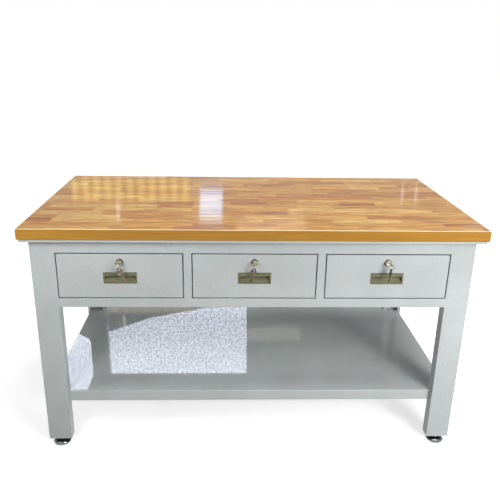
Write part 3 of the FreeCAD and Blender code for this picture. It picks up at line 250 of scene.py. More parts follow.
    # every stave cups a little, and the varnish follows it
    halfTurn = addNode(tree, "ShaderNodeMath", {"operation": "MULTIPLY"}, {0: inRow, 1: math.pi})
    cup = addNode(tree, "ShaderNodeMath", {"operation": "SINE"}, {0: halfTurn})
    lift = addNode(tree, "ShaderNodeMath", {"operation": "MULTIPLY_ADD"},
                   {0: share[2], 1: s["staveStep"], 2: cup})
    waves = addNode(tree, "ShaderNodeMapping", None, {"Vector": place, "Scale": perMetre(*s["ripple"])})
    ripple = addNode(tree, "ShaderNodeTexNoise", None, {"Vector": waves, "Scale": 1.0, "Detail": 2.0})
    cupped = addNode(tree, "ShaderNodeBump", None, {"Height": lift, "Distance": s["cupping"] * mm})
    brushed = addNode(tree, "ShaderNodeBump", None,
                      {"Height": ripple, "Distance": s["rippleDepth"] * mm, "Normal": cupped})
    fine = addNode(tree, "ShaderNodeBump", None,
                   {"Height": found["fibre"], "Distance": 0.02 * mm, "Normal": brushed})
    tree.links.new(fine.outputs[0], shader.inputs["Coat Normal"])
    tree.links.new(fine.outputs[0], shader.inputs["Normal"])
    return material


# edge band: wood-grain printed and varnished veneer strip, evenly yellow-brown with fine grain along the strip, so
# it looks flatter than the board; its top arris carries a pale painted highlight

edgeBand = {
    "dark": "#A27226", "tone": "#BA852F", "light": "#CA963C", "grain": (120.0, 1.4, 1.4), "broad": (260.0, 8.0, 8.0),
    "arris": "#EBD6B2", "arrisHeight": 1.6, "top": 835.0, "roughness": 0.34,
}


def makeEdgeBand(s):
    material, tree, shader, place = newMaterial(
        "varnishedVeneerBand", Roughness=s["roughness"], Coat_Weight=0.2, Coat_Roughness=0.2,
        Specular_IOR_Level=0.2)
    # the grain runs along the strip, also round the ends
    facing = addNode(tree, "ShaderNodeNewGeometry").outputs["True Normal"]
    facingX = addNode(tree, "ShaderNodeSeparateXYZ", None, {0: facing})
    sideways = addNode(tree, "ShaderNodeMath", {"operation": "ABSOLUTE"}, {0: facingX})
    atEnd = addNode(tree, "ShaderNodeMath", {"operation": "GREATER_THAN"}, {0: sideways, 1: 0.5})
    x, y, z = addNode(tree, "ShaderNodeSeparateXYZ", None, {0: place}).outputs
    turned = addNode(tree, "ShaderNodeCombineXYZ", None, {0: y, 1: x, 2: z})
    along = addNode(tree, "ShaderNodeMix", {"data_type": "VECTOR"},
                    {0: atEnd, 4: place, 5: turned}).outputs[1]
    fine = addNode(tree, "ShaderNodeMapping", None, {"Vector": along, "Scale": perMetre(*s["grain"])})
    grain = addNode(tree, "ShaderNodeTexNoise", None,
                    {"Vector": fine, "Scale": 1.0, "Detail": 5.0, "Roughness": 0.62})
    wide = addNode(tree, "ShaderNodeMapping", None, {"Vector": along, "Scale": perMetre(*s["broad"])})
    broad = addNode(tree, "ShaderNodeTexNoise", None, {"Vector": wide, "Scale": 1.0, "Detail": 2.0})
    darker = addNode(tree, "ShaderNodeMapRange", None, {"Value": grain, "From Min": 0.52, "From Max": 0.3})
    lighter = addNode(tree, "ShaderNodeMapRange", None, {"Value": broad, "From Min": 0.45, "From Max": 0.75})
    colour = addNode(tree, "ShaderNodeMix", {"data_type": "RGBA"},
                     {0: lighter, 6: hexColor(s["tone"]), 7: hexColor(s["light"])}).outputs[2]
    colour = addNode(tree, "ShaderNodeMix", {"data_type": "RGBA"},
                     {0: darker, 6: colour, 7: hexColor(s["dark"])}).outputs[2]
    # painted highlight: the top 1.6 mm of the band is coloured pale, where the glossy arris would catch the light
    highlightMask = addNode(tree, "ShaderNodeMath", {"operation": "GREATER_THAN"},
                     {0: z, 1: (s["top"] - s["arrisHeight"]) * mm})
    colour = addNode(tree, "ShaderNodeMix", {"data_type": "RGBA"},
                     {0: highlightMask, 6: colour, 7: hexColor(s["arris"])}).outputs[2]
    tree.links.new(colour, shader.inputs["Base Color"])
    relief = addNode(tree, "ShaderNodeBump", None, {"Height": grain, "Distance": 0.03 * mm})
    tree.links.new(relief.outputs[0], shader.inputs["Normal"])
    return material


# powder coat over folded steel: light grey, semi-gloss, with the orange peel that breaks
# reflections into specks; handling leaves it faintly uneven

powderCoat = {
    "colour": "#CCD2D1", "worn": "#C6CCCB", "cloud": 140.0,
    # reach, darkest share and open-space span of the painted seam shade
    "seamReach": 10.0, "seamShade": 0.1, "seamOpen": (0.06, 0.48),  # share of open space, shut and clear
    "frame": {"peel": 3.2, "depth": 0.045, "roughness": 0.29, "spread": 0.03},
    # the shelf's peel is drawn coarser than it is, so that its specks show
    "shelf": {"peel": 5.0, "depth": 0.02, "roughness": 0.03, "spread": 0.01},
}


def makePowderCoat(s, name, coat):
    material, tree, shader, place = newMaterial(name, Specular_IOR_Level=0.5)
    wide = addNode(tree, "ShaderNodeMapping", None, {"Vector": place, "Scale": perMetre(*[s["cloud"]] * 3)})
    patch = addNode(tree, "ShaderNodeTexNoise", None, {"Vector": wide, "Scale": 1.0, "Detail": 4.0})
    worn = addNode(tree, "ShaderNodeMapRange", None, {"Value": patch, "From Min": 0.62, "From Max": 0.38})
    colour = addNode(tree, "ShaderNodeMix", {"data_type": "RGBA"},
                     {0: worn, 6: hexColor(s["colour"]), 7: hexColor(s["worn"])}).outputs[2]
    # painted shade: an ambient-occlusion lookup darkens the colour in the narrow seams and gaps between the parts
    space = addNode(tree, "ShaderNodeAmbientOcclusion", {"samples": 8}, {"Distance": s["seamReach"] * mm})
    shut, clear = s["seamOpen"]
    shade = addNode(tree, "ShaderNodeMapRange", None,
                    {"Value": space.outputs["AO"], "From Min": shut, "From Max": clear,
                     "To Min": s["seamShade"], "To Max": 1.0})
    colour = addNode(tree, "ShaderNodeVectorMath", {"operation": "SCALE"}, {0: colour, "Scale": shade})
    tree.links.new(colour.outputs[0], shader.inputs["Base Color"])
    cells = addNode(tree, "ShaderNodeMapping", None,
                    {"Vector": place, "Scale": perMetre(*[coat["peel"]] * 3)})
    peel = addNode(tree, "ShaderNodeTexNoise", None,
                   {"Vector": cells, "Scale": 1.0, "Detail": 2.0, "Roughness": 0.5})
    gloss = addNode(tree, "ShaderNodeMapRange", None,
                    {"Value": peel, "From Min": 0.42, "From Max": 0.58, "To Min": coat["roughness"] - coat["spread"],
                     "To Max": coat["roughness"] + coat["spread"]})
    tree.links.new(gloss.outputs[0], shader.inputs["Roughness"])
    relief = addNode(tree, "ShaderNodeBump", None, {"Height": peel, "Distance": coat["depth"] * mm})
    tree.links.new(relief.outputs[0], shader.inputs["Normal"])
    return material


# zinc-plated strip steel of the slides and carriers: blue-grey, faint spangle and
# rolling lines along the section

zincSteel = {"light": "#B4B8BA", "dark": "#94989B", "spangle": 9.0, "rolling": (1.2, 120.0, 1.2), "roughness": 0.36}


def makeZincSteel(s):
    material, tree, shader, place = newMaterial("zincPlatedSteel", Metallic=1.0)
    crystals = addNode(tree, "ShaderNodeMapping", None,
                       {"Vector": place, "Scale": perMetre(*[s["spangle"]] * 3)})
    cells = addNode(tree, "ShaderNodeTexVoronoi", None, {"Vector": crystals, "Scale": 1.0})
    tint = addNode(tree, "ShaderNodeSeparateColor", None, {0: cells.outputs["Color"]})
    colour = addNode(tree, "ShaderNodeMix", {"data_type": "RGBA"},
                     {0: tint, 6: hexColor(s["dark"]), 7: hexColor(s["light"])}).outputs[2]
    tree.links.new(colour, shader.inputs["Base Color"])
    drawn = addNode(tree, "ShaderNodeMapping", None, {"Vector": place, "Scale": perMetre(*s["rolling"])})
    lines = addNode(tree, "ShaderNodeTexNoise", None, {"Vector": drawn, "Scale": 1.0, "Detail": 3.0})
    gloss = addNode(tree, "ShaderNodeMapRange", None,
                    {"Value": lines, "From Min": 0.3, "From Max": 0.7, "To Min": s["roughness"] - 0.08,
                     "To Max": s["roughness"] + 0.1})
    tree.links.new(gloss.outputs[0], shader.inputs["Roughness"])
    relief = addNode(tree, "ShaderNodeBump", None, {"Height": lines, "Distance": 0.01 * mm})
    tree.links.new(relief.outputs[0], shader.inputs["Normal"])
    return material


# plated metals: polished chrome of the feet, bright nickel of the lock barrels and rings, satin nickel of the plugs
# and the keys in them, and the duller nickel of the hanging keys, all with fine scratches and a cloudy film of
# finger marks; chrome, bright nickel and key are darker than plain plating, a painted dark reflection that stands in
# for a dim room in the white studio, and where the film lies the colour falls to a darker tone, partly finger marks
# and partly that painted dark reflection

platings = {
    "chrome": {"name": "brightChromePlate", "bright": "#8E9493", "dull": "#59605E", "roughness": 0.06,
               "smear": 0.06, "scratch": 0.002},
    "nickel": {"name": "brightNickelPlate", "bright": "#B4B2AD", "dull": "#45423D", "roughness": 0.06,
               "smear": 0.10, "scratch": 0.003},
    "satin": {"name": "satinNickelPlate", "bright": "#F6F2E0", "dull": "#8E8A7E", "roughness": 0.30,
              "smear": 0.08, "scratch": 0.003},
    "key": {"name": "handledDarkReflectionNickel", "bright": "#70675D", "dull": "#473F37", "roughness": 0.20,
            "smear": 0.16, "scratch": 0.012},
}
filmSize = 8.0                   # mm, one cloud of the film
scratchSize = (6.0, 0.35, 0.35)  # mm, one scratch


def makePlated(s):
    material, tree, shader, place = newMaterial(s["name"], Metallic=1.0)
    wide = addNode(tree, "ShaderNodeMapping", None, {"Vector": place, "Scale": perMetre(*[filmSize] * 3)})
    film = addNode(tree, "ShaderNodeTexNoise", None, {"Vector": wide, "Scale": 1.0, "Detail": 3.0})
    clean = addNode(tree, "ShaderNodeMapRange", None, {"Value": film, "From Min": 0.36, "From Max": 0.62})
    # the film mixes towards a darker tone: finger marks, and painted dark reflection as well
    colour = addNode(tree, "ShaderNodeMix", {"data_type": "RGBA"},
                     {0: clean, 6: hexColor(s["dull"]), 7: hexColor(s["bright"])}).outputs[2]
    tree.links.new(colour, shader.inputs["Base Color"])
    gloss = addNode(tree, "ShaderNodeMapRange", None,
                    {"Value": film, "From Min": 0.35, "From Max": 0.65, "To Min": s["roughness"] + s["smear"],
                     "To Max": s["roughness"]})
    tree.links.new(gloss.outputs[0], shader.inputs["Roughness"])
    narrow = addNode(tree, "ShaderNodeMapping", None, {"Vector": place, "Scale": perMetre(*scratchSize)})
    marks = addNode(tree, "ShaderNodeTexNoise", None,
                    {"Vector": narrow, "Scale": 1.0, "Detail": 4.0, "Roughness": 0.7})
    relief = addNode(tree, "ShaderNodeBump", None, {"Height": marks, "Distance": s["scratch"] * mm})
    tree.links.new(relief.outputs[0], shader.inputs["Normal"])
    return material


# moulded pull: olive plastic with faint flow clouds and a fine spark-eroded grain, so its
# sheen is low and a little uneven

pullPlastic = {"colour": "#838164", "dark": "#6C6A50", "flow": (26.0, 26.0, 7.0), "grain": 0.5, "roughness": 0.38}


def makePullPlastic(s):
    material, tree, shader, place = newMaterial("oliveMouldedPull", Specular_IOR_Level=0.35)
    wide = addNode(tree, "ShaderNodeMapping", None, {"Vector": place, "Scale": perMetre(*s["flow"])})
    flow = addNode(tree, "ShaderNodeTexNoise", None, {"Vector": wide, "Scale": 1.0, "Detail": 3.0})
    clean = addNode(tree, "ShaderNodeMapRange", None, {"Value": flow, "From Min": 0.32, "From Max": 0.64})
    colour = addNode(tree, "ShaderNodeMix", {"data_type": "RGBA"},
                     {0: clean, 6: hexColor(s["dark"]), 7: hexColor(s["colour"])}).outputs[2]
    tree.links.new(colour, shader.inputs["Base Color"])
    eroded = addNode(tree, "ShaderNodeMapping", None, {"Vector": place, "Scale": perMetre(*[s["grain"]] * 3)})
    grain = addNode(tree, "ShaderNodeTexNoise", None, {"Vector": eroded, "Scale": 1.0, "Detail": 2.0})
    gloss = addNode(tree, "ShaderNodeMapRange", None,
                    {"Value": grain, "From Min": 0.3, "From Max": 0.7, "To Min": s["roughness"] - 0.06,
                     "To Max": s["roughness"] + 0.08})
    tree.links.new(gloss.outputs[0], shader.inputs["Roughness"])
    relief = addNode(tree, "ShaderNodeBump", None, {"Height": grain, "Distance": 0.012 * mm})
    tree.links.new(relief.outputs[0], shader.inputs["Normal"])
    return material


# moulded rubber pad: near black, matt, faintly dusty

rubberPad = {"colour": "#232323", "dust": "#3A3936", "roughness": 0.75}


def makeRubber(s):
    material, tree, shader, place = newMaterial("mouldedRubber", Specular_IOR_Level=0.3, Roughness=s["roughness"])
    fine = addNode(tree, "ShaderNodeMapping", None, {"Vector": place, "Scale": perMetre(5, 5, 5)})
    dust = addNode(tree, "ShaderNodeTexNoise", None, {"Vector": fine, "Scale": 1.0, "Detail": 4.0})
    dusty = addNode(tree, "ShaderNodeMapRange", None, {"Value": dust, "From Min": 0.4, "From Max": 0.8})
    colour = addNode(tree, "ShaderNodeMix", {"data_type": "RGBA"},
                     {0: dusty, 6: hexColor(s["colour"]), 7: hexColor(s["dust"])}).outputs[2]
    tree.links.new(colour, shader.inputs["Base Color"])
    relief = addNode(tree, "ShaderNodeBump", None, {"Height": dust, "Distance": 0.05 * mm})
    tree.links.new(relief.outputs[0], shader.inputs["Normal"])
    return material


rubberwood = makeBoardWood(boardWood)
veneerBand = makeEdgeBand(edgeBand)
framePaint = makePowderCoat(powderCoat, "powderCoatedSteel", powderCoat["frame"])
shelfPaint = makePowderCoat(powderCoat, "powderCoatedShelf", powderCoat["shelf"])
zinc = makeZincSteel(zincSteel)
footChrome, brightNickel, satinNickel, keyNickel = (makePlated(s) for s in platings.values())
pullOlive = makePullPlastic(pullPlastic)
blackRubber = makeRubber(rubberPad)
print("materials made")

paint(["worktop"], rubberwood)
paint(["edge_bands"], veneerBand)
painted = ["top_pan", "leg_base_plates", "front_top_rail", "front_bottom_rail", "rear_panel", "divider_left",
           "divider_right", "side_panel_left", "side_panel_right", "frame_welds", "shelf_ribs"]
painted += ["leg_" + c for c in corners]
painted += [part + h for h in hands for part in ("drawer_box_", "drawer_front_")]
paint(painted, framePaint)
paint(["shelf"], shelfPaint)
paint(["worktop_screws", "slide_outer_members", "foot_lock_nuts"], zinc)
paint(["runner_carrier_" + s + h for s in ("inner_", "outer_") for h in ("left", "right")], zinc)
for hand in hands:
    paint(["slide_inner_members_" + hand, "lock_cam_" + hand], zinc)
    paint(["lock_barrel_" + hand, "key_ring_" + hand], brightNickel)
    paint(["lock_plug_" + hand, "key_" + hand], satinNickel)
    paint(["spare_key_" + hand], keyNickel)
    paint(["pull_" + hand], pullOlive)
print("frame painted")


# levelling feet: pressed chrome cup, rubber pad and threaded stud

foot = {
    "steps": 64,
    "rim": 30.0, "face": 26.0, "rise": 0.5, "shoulder": 7.0,
    "domeTop": 15.0, "collar": 10.0, "top": 18.0, "bore": 6.05,
    "padRadius": 22.0, "padThick": 3.0, "padRecess": 22.3,
    "studRadius": 6.0, "studTop": 66.0, "pitch": 1.75, "threadDepth": 0.95,
    "bulge": 30.0, "cupEase": 0.6, "padEase": 0.5,  # radius of the dome, and the broken edges
}


def makeCup(s, name, centre):
    build = bmesh.new()
    lower = arcPoints((s["face"], s["rise"] + s["rim"] - s["face"]), s["rim"] - s["face"], -90, 0, 8)
    # the dome bulges between the shoulder and the collar
    bulge, ease = s["bulge"], s["cupEase"]
    start, end = Vector((s["rim"], s["shoulder"])), Vector((s["collar"], s["domeTop"]))
    chord = end - start
    away = math.sqrt(bulge ** 2 - (chord.length / 2) ** 2)
    middle = (start + end) / 2 + Vector((-chord.y, chord.x)).normalized() * away
    first = math.degrees(math.atan2(start.y - middle.y, start.x - middle.x))
    last = math.degrees(math.atan2(end.y - middle.y, end.x - middle.x))
    dome = arcPoints(middle, bulge, first, last, 14)
    profile = [(s["bore"], s["padThick"]), (s["padRecess"], s["padThick"]), (s["padRecess"], s["rise"])]
    profile += lower + dome
    profile += [(s["collar"], s["domeTop"] + ease), (s["collar"], s["top"] - ease),
                (s["collar"] - ease * 0.3, s["top"] - ease * 0.3), (s["collar"] - ease, s["top"]),
                (s["bore"], s["top"])]
    rings = lathe(build, profile, centre, s["steps"])
    for i in range(s["steps"]):
        j = (i + 1) % s["steps"]
        build.faces.new((rings[-1][i], rings[-1][j], rings[0][j], rings[0][i]))
    return finishMesh(build, name, footChrome, 40)


def makePad(s, name, centre):
    build = bmesh.new()
    radius, top, ease = s["padRadius"], s["padThick"], s["padEase"]
    rings = lathe(build, [(radius - ease, 0.0), (radius, ease), (radius, top - ease), (radius - ease, top)],
                  centre, s["steps"])
    build.faces.new(rings[0][::-1])
    build.faces.new(rings[-1])
    return finishMesh(build, name, blackRubber, 30)


def threadTree(s):
    # one ridge of the thread, repeated up the stud
    tree = bpy.data.node_groups.new("threadedStud", "GeometryNodeTree")
    sockets = {}
    for name, kind, value in (("Radius", "NodeSocketFloat", s["studRadius"] * mm),
                              ("Depth", "NodeSocketFloat", s["threadDepth"] * mm),
                              ("Pitch", "NodeSocketFloat", s["pitch"] * mm),
                              ("Turns", "NodeSocketInt", 36),
                              ("Foot", "NodeSocketVector", (0, 0, 0)),
                              ("Metal", "NodeSocketMaterial", None)):
        socket = tree.interface.new_socket(name, in_out="INPUT", socket_type=kind)
        if value is not None:
            socket.default_value = value
        sockets[name] = socket.identifier
    tree.interface.new_socket("Geometry", in_out="OUTPUT", socket_type="NodeSocketGeometry")
    given = addNode(tree, "NodeGroupInput").outputs
    root = addNode(tree, "ShaderNodeMath", {"operation": "SUBTRACT"}, {0: given["Radius"], 1: given["Depth"]})
    half = addNode(tree, "ShaderNodeMath", {"operation": "MULTIPLY"}, {0: given["Pitch"], 1: 0.5})
    lower = addNode(tree, "GeometryNodeMeshCone", {"fill_type": "NONE"},
                    {"Vertices": 32, "Radius Top": given["Radius"], "Radius Bottom": root, "Depth": half})
    upper = addNode(tree, "GeometryNodeMeshCone", {"fill_type": "NONE"},
                    {"Vertices": 32, "Radius Top": root, "Radius Bottom": given["Radius"], "Depth": half})
    raised = addNode(tree, "ShaderNodeCombineXYZ", None, {2: half})
    above = addNode(tree, "GeometryNodeTransform", None, {"Geometry": upper, "Translation": raised})
    ridge = addNode(tree, "GeometryNodeJoinGeometry", None, {0: [lower, above]})
    step = addNode(tree, "ShaderNodeCombineXYZ", None, {2: given["Pitch"]})
    line = addNode(tree, "GeometryNodeMeshLine", None,
                   {"Count": given["Turns"], "Start Location": given["Foot"], "Offset": step})
    stack = addNode(tree, "GeometryNodeInstanceOnPoints", None, {"Points": line, "Instance": ridge})
    real = addNode(tree, "GeometryNodeRealizeInstances", None, {0: stack})
    # the stud's two ends
    rise = addNode(tree, "ShaderNodeMath", {"operation": "MULTIPLY"}, {0: given["Pitch"], 1: given["Turns"]})
    high = addNode(tree, "ShaderNodeCombineXYZ", None, {2: rise})
    tip = addNode(tree, "ShaderNodeVectorMath", {"operation": "ADD"}, {0: given["Foot"], 1: high})
    disc = addNode(tree, "GeometryNodeMeshCircle", {"fill_type": "NGON"}, {"Vertices": 32, "Radius": root})
    cap = addNode(tree, "GeometryNodeTransform", None, {"Geometry": disc, "Translation": tip})
    underside = addNode(tree, "GeometryNodeFlipFaces", None, {0: disc})
    base = addNode(tree, "GeometryNodeTransform", None, {"Geometry": underside, "Translation": given["Foot"]})
    joined = addNode(tree, "GeometryNodeJoinGeometry", None, {0: [real, cap, base]})
    whole = addNode(tree, "GeometryNodeMergeByDistance", None,
                    {"Geometry": joined, "Distance": 0.00002})
    final = addNode(tree, "GeometryNodeSetMaterial", None, {"Geometry": whole, "Material": given["Metal"]})
    addNode(tree, "NodeGroupOutput", None, {0: final})
    return tree, sockets


def grownByNodes(name, tree, sockets, values):
    # runs a node tree once and keeps its result as a plain mesh
    carrier = bpy.data.objects.new(name, bpy.data.meshes.new(name + "Seed"))
    bpy.context.scene.collection.objects.link(carrier)
    modifier = carrier.modifiers.new("grow", "NODES")
    modifier.node_group = tree
    for label, value in values.items():
        modifier[sockets[label]] = value
    bpy.context.view_layer.update()
    graph = bpy.context.evaluated_depsgraph_get()
    mesh = bpy.data.meshes.new_from_object(carrier.evaluated_get(graph))
    carrier.modifiers.remove(modifier)
    carrier.data = mesh
    mesh.name = name
    return carrier


studTree, studSockets = threadTree(foot)
for corner in corners:
    low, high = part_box("foot_" + corner)
    centre = Vector(((low.x + high.x) / 2, (low.y + high.y) / 2, 0))
    title = "".join(part.capitalize() for part in corner.split("_"))
    cup = makeCup(foot, "chromeCup" + title, centre)
    pad = makePad(foot, "rubberPad" + title, centre)
    turns = int((foot["studTop"] - foot["padThick"]) / foot["pitch"])
    base = centre + Vector((0, 0, foot["padThick"] * mm + foot["pitch"] * mm / 4))
    stud = grownByNodes("threadedStud" + title, studTree, studSockets,
                        {"Turns": turns, "Foot": tuple(base), "Metal": zinc})
    for piece, finish in ((cup, "foot_chrome"), (pad, "foot_chrome"), (stud, "galvanised_steel")):
        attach(piece, "levelling_foot_" + corner)
    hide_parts("foot_" + corner)
print("feet made")


# rivets that hold the inner slide members, seen inside the drawers

rivets = {"perSide": 4, "spacing": 140.0, "first": 60.0, "sheet": 1.0,
          "radius": 4.0, "height": 1.1, "segments": 20}


def rivetTree(s):
    tree = bpy.data.node_groups.new("rivetRow", "GeometryNodeTree")
    sockets = {}
    for name, kind, value in (("Radius", "NodeSocketFloat", s["radius"] * mm),
                              ("Height", "NodeSocketFloat", s["height"] * mm),
                              ("Spacing", "NodeSocketFloat", s["spacing"] * mm),
                              ("Count", "NodeSocketInt", s["perSide"]),
                              ("First", "NodeSocketVector", (0, 0, 0)),
                              ("Lean", "NodeSocketFloat", 0.0),
                              ("Metal", "NodeSocketMaterial", None)):
        socket = tree.interface.new_socket(name, in_out="INPUT", socket_type=kind)
        if value is not None:
            socket.default_value = value
        sockets[name] = socket.identifier
    tree.interface.new_socket("Geometry", in_out="OUTPUT", socket_type="NodeSocketGeometry")
    given = addNode(tree, "NodeGroupInput").outputs
    ball = addNode(tree, "GeometryNodeMeshUVSphere", None,
                   {"Segments": s["segments"], "Rings": 10, "Radius": given["Radius"]})
    flat = addNode(tree, "ShaderNodeMath", {"operation": "DIVIDE"}, {0: given["Height"], 1: given["Radius"]})
    squash = addNode(tree, "ShaderNodeCombineXYZ", None, {0: 1.0, 1: 1.0, 2: flat})
    turn = addNode(tree, "ShaderNodeCombineXYZ", None, {1: given["Lean"]})
    dome = addNode(tree, "GeometryNodeTransform", None, {"Geometry": ball, "Scale": squash})
    head = addNode(tree, "GeometryNodeTransform", None, {"Geometry": dome, "Rotation": turn})
    step = addNode(tree, "ShaderNodeCombineXYZ", None, {1: given["Spacing"]})
    line = addNode(tree, "GeometryNodeMeshLine", None,
                   {"Count": given["Count"], "Start Location": given["First"], "Offset": step})
    row = addNode(tree, "GeometryNodeInstanceOnPoints", None, {"Points": line, "Instance": head})
    real = addNode(tree, "GeometryNodeRealizeInstances", None, {0: row})
    smooth = addNode(tree, "GeometryNodeSetShadeSmooth", None, {0: real})
    final = addNode(tree, "GeometryNodeSetMaterial", None, {"Geometry": smooth, "Material": given["Metal"]})
    addNode(tree, "NodeGroupOutput", None, {0: final})
    return tree, sockets


rowTree, rowSockets = rivetTree(rivets)
for hand in hands:
    boxLow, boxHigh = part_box("drawer_box_" + hand)
    slideLow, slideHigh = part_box("slide_inner_members_" + hand)
    sheet = rivets["sheet"] * mm
    for side, wall in (("Left", boxLow.x + sheet), ("Right", boxHigh.x - sheet)):
        first = (wall, slideLow.y + rivets["first"] * mm, (slideLow.z + slideHigh.z) / 2)
        row = grownByNodes("slideRivets" + hand.capitalize() + side, rowTree, rowSockets,
                           {"First": first, "Lean": math.pi / 2, "Metal": zinc})
        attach(row, "drawer_" + hand)
print("rivets made")


# dark strips on the sides of the openings, just behind the drawer fronts, set there as painted shade so that the
# narrow gaps read dark; they are dressed as black felt

gapShadeStrips = {
    # near-black colour of the strips, painted shade for the gaps, with lighter lint
    "colour": "#1C1C1C", "lint": "#34332F", "roughness": 0.9,
    "depth": 5.0, "behind": 0.5, "clear": 0.2, "openings": 3.0,  # mm
}


def makeGapShadeMaterial(s):
    material, tree, shader, place = newMaterial("blackGapShadeFelt", Specular_IOR_Level=0.15, Roughness=s["roughness"],
                                                Sheen_Weight=0.1)
    hairs = addNode(tree, "ShaderNodeMapping", None, {"Vector": place, "Scale": perMetre(0.6, 0.6, 1.8)})
    nap = addNode(tree, "ShaderNodeTexNoise", None, {"Vector": hairs, "Scale": 1.0, "Detail": 3.0})
    lint = addNode(tree, "ShaderNodeMapRange", None, {"Value": nap, "From Min": 0.5, "From Max": 0.75})
    colour = addNode(tree, "ShaderNodeMix", {"data_type": "RGBA"},
                     {0: lint, 6: hexColor(s["colour"]), 7: hexColor(s["lint"])}).outputs[2]
    tree.links.new(colour, shader.inputs["Base Color"])
    relief = addNode(tree, "ShaderNodeBump", None, {"Height": nap, "Distance": 0.2 * mm})
    tree.links.new(relief.outputs[0], shader.inputs["Normal"])
    return material


gapShadeMaterial = makeGapShadeMaterial(gapShadeStrips)
for hand in hands:
    low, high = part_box("drawer_front_" + hand)
    gap = gapShadeStrips["openings"] * mm
    for side, edge, way in (("Left", low.x, -1), ("Right", high.x, 1)):
        build = bmesh.new()
        bmesh.ops.create_cube(build, size=1.0)
        width = gap - gapShadeStrips["clear"] * mm
        middle = Vector((edge + way * (gap - width / 2),
                         high.y + (gapShadeStrips["behind"] + gapShadeStrips["depth"] / 2) * mm,
                         (low.z + high.z) / 2))
        size = Vector((width, gapShadeStrips["depth"] * mm, high.z - low.z + 2 * gap - 2 * gapShadeStrips["clear"] * mm))
        for vert in build.verts:
            vert.co = Vector(c * d for c, d in zip(vert.co, size)) + middle
        strip = finishMesh(build, "gapShadeStrip" + hand.capitalize() + side, gapShadeMaterial)
        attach(strip, "bench")
print("gap shade strips made")


# floor, light and camera

studio = {
    "floor": "#F6F6F5", "bounce": "#565655", "floorGlow": (0.62, 1.0), "glowReach": (1.3, 3.6), "half": 30.0,
    "worldSeen": 1.0, "worldLight": 0.06,
}


def makeFloor(s):
    build = bmesh.new()
    spots = [(sx * s["half"], sy * s["half"], 0) for sx, sy in ((-1, -1), (1, -1), (1, 1), (-1, 1))]
    build.faces.new([build.verts.new(spot) for spot in spots])
    mesh = bpy.data.meshes.new("studioFloor")
    build.to_mesh(mesh)
    build.free()
    material = bpy.data.materials.new("paleSeamlessPaper")
    material.use_nodes = True
    tree = material.node_tree
    tree.nodes.clear()
    path = addNode(tree, "ShaderNodeLightPath").outputs
    seen = addNode(tree, "ShaderNodeMath", {"operation": "MAXIMUM"},
                   {0: path["Is Camera Ray"], 1: path["Is Glossy Ray"]})
    # the paper glows more away from the bench, so its far end stays as white as the near one
    place = addNode(tree, "ShaderNodeTexCoord").outputs["Object"]
    away = addNode(tree, "ShaderNodeVectorMath", {"operation": "LENGTH"}, {0: place}).outputs["Value"]
    glowing = addNode(tree, "ShaderNodeMapRange", {"interpolation_type": "SMOOTHSTEP"},
                      {"Value": away, "From Min": s["glowReach"][0], "From Max": s["glowReach"][1],
                       "To Min": s["floorGlow"][0], "To Max": s["floorGlow"][1]})
    strength = addNode(tree, "ShaderNodeMath", {"operation": "MULTIPLY"}, {0: seen, 1: glowing})
    tone = addNode(tree, "ShaderNodeMix", {"data_type": "RGBA"},
                   {0: seen, 6: hexColor(s["bounce"]), 7: hexColor(s["floor"])})
    paper = addNode(tree, "ShaderNodeBsdfDiffuse", None, {"Color": tone.outputs[2]})
    glow = addNode(tree, "ShaderNodeEmission", None, {"Strength": strength})
    both = addNode(tree, "ShaderNodeAddShader", None, {0: paper, 1: glow})
    addNode(tree, "ShaderNodeOutputMaterial", None, {"Surface": both})
    mesh.materials.append(material)
    floor = bpy.data.objects.new("studioFloor", mesh)
    bpy.context.scene.collection.objects.link(floor)
    return floor


def makeWorld(s):
    world = bpy.data.worlds.new("softStudio")
    world.use_nodes = True
    tree = world.node_tree
    tree.nodes.clear()
    path = addNode(tree, "ShaderNodeLightPath").outputs
    mirrored = addNode(tree, "ShaderNodeMath", {"operation": "MAXIMUM"},
                       {0: path["Is Glossy Ray"], 1: path["Is Transmission Ray"]})
    seen = addNode(tree, "ShaderNodeMath", {"operation": "MAXIMUM"}, {0: path["Is Camera Ray"], 1: mirrored})
    strength = addNode(tree, "ShaderNodeMath", {"operation": "MULTIPLY_ADD"},
                       {0: seen, 1: s["worldSeen"] - s["worldLight"], 2: s["worldLight"]})
    sky = addNode(tree, "ShaderNodeBackground", None, {"Color": (1, 1, 1, 1), "Strength": strength})
    addNode(tree, "ShaderNodeOutputWorld", None, {"Surface": sky})
    bpy.context.scene.world = world


def addLamp(name, place, target, size, energy):
    data = bpy.data.lights.new(name, "AREA")
    data.shape = "RECTANGLE"
    data.size, data.size_y = size
    data.energy = energy
    lamp = bpy.data.objects.new(name, data)
    lamp.location = place
    lamp.rotation_euler = (Vector(target) - Vector(place)).to_track_quat("-Z", "Y").to_euler()
    lamp.visible_camera = False
    lamp.visible_glossy = name not in unmirrored
    bpy.context.scene.collection.objects.link(lamp)


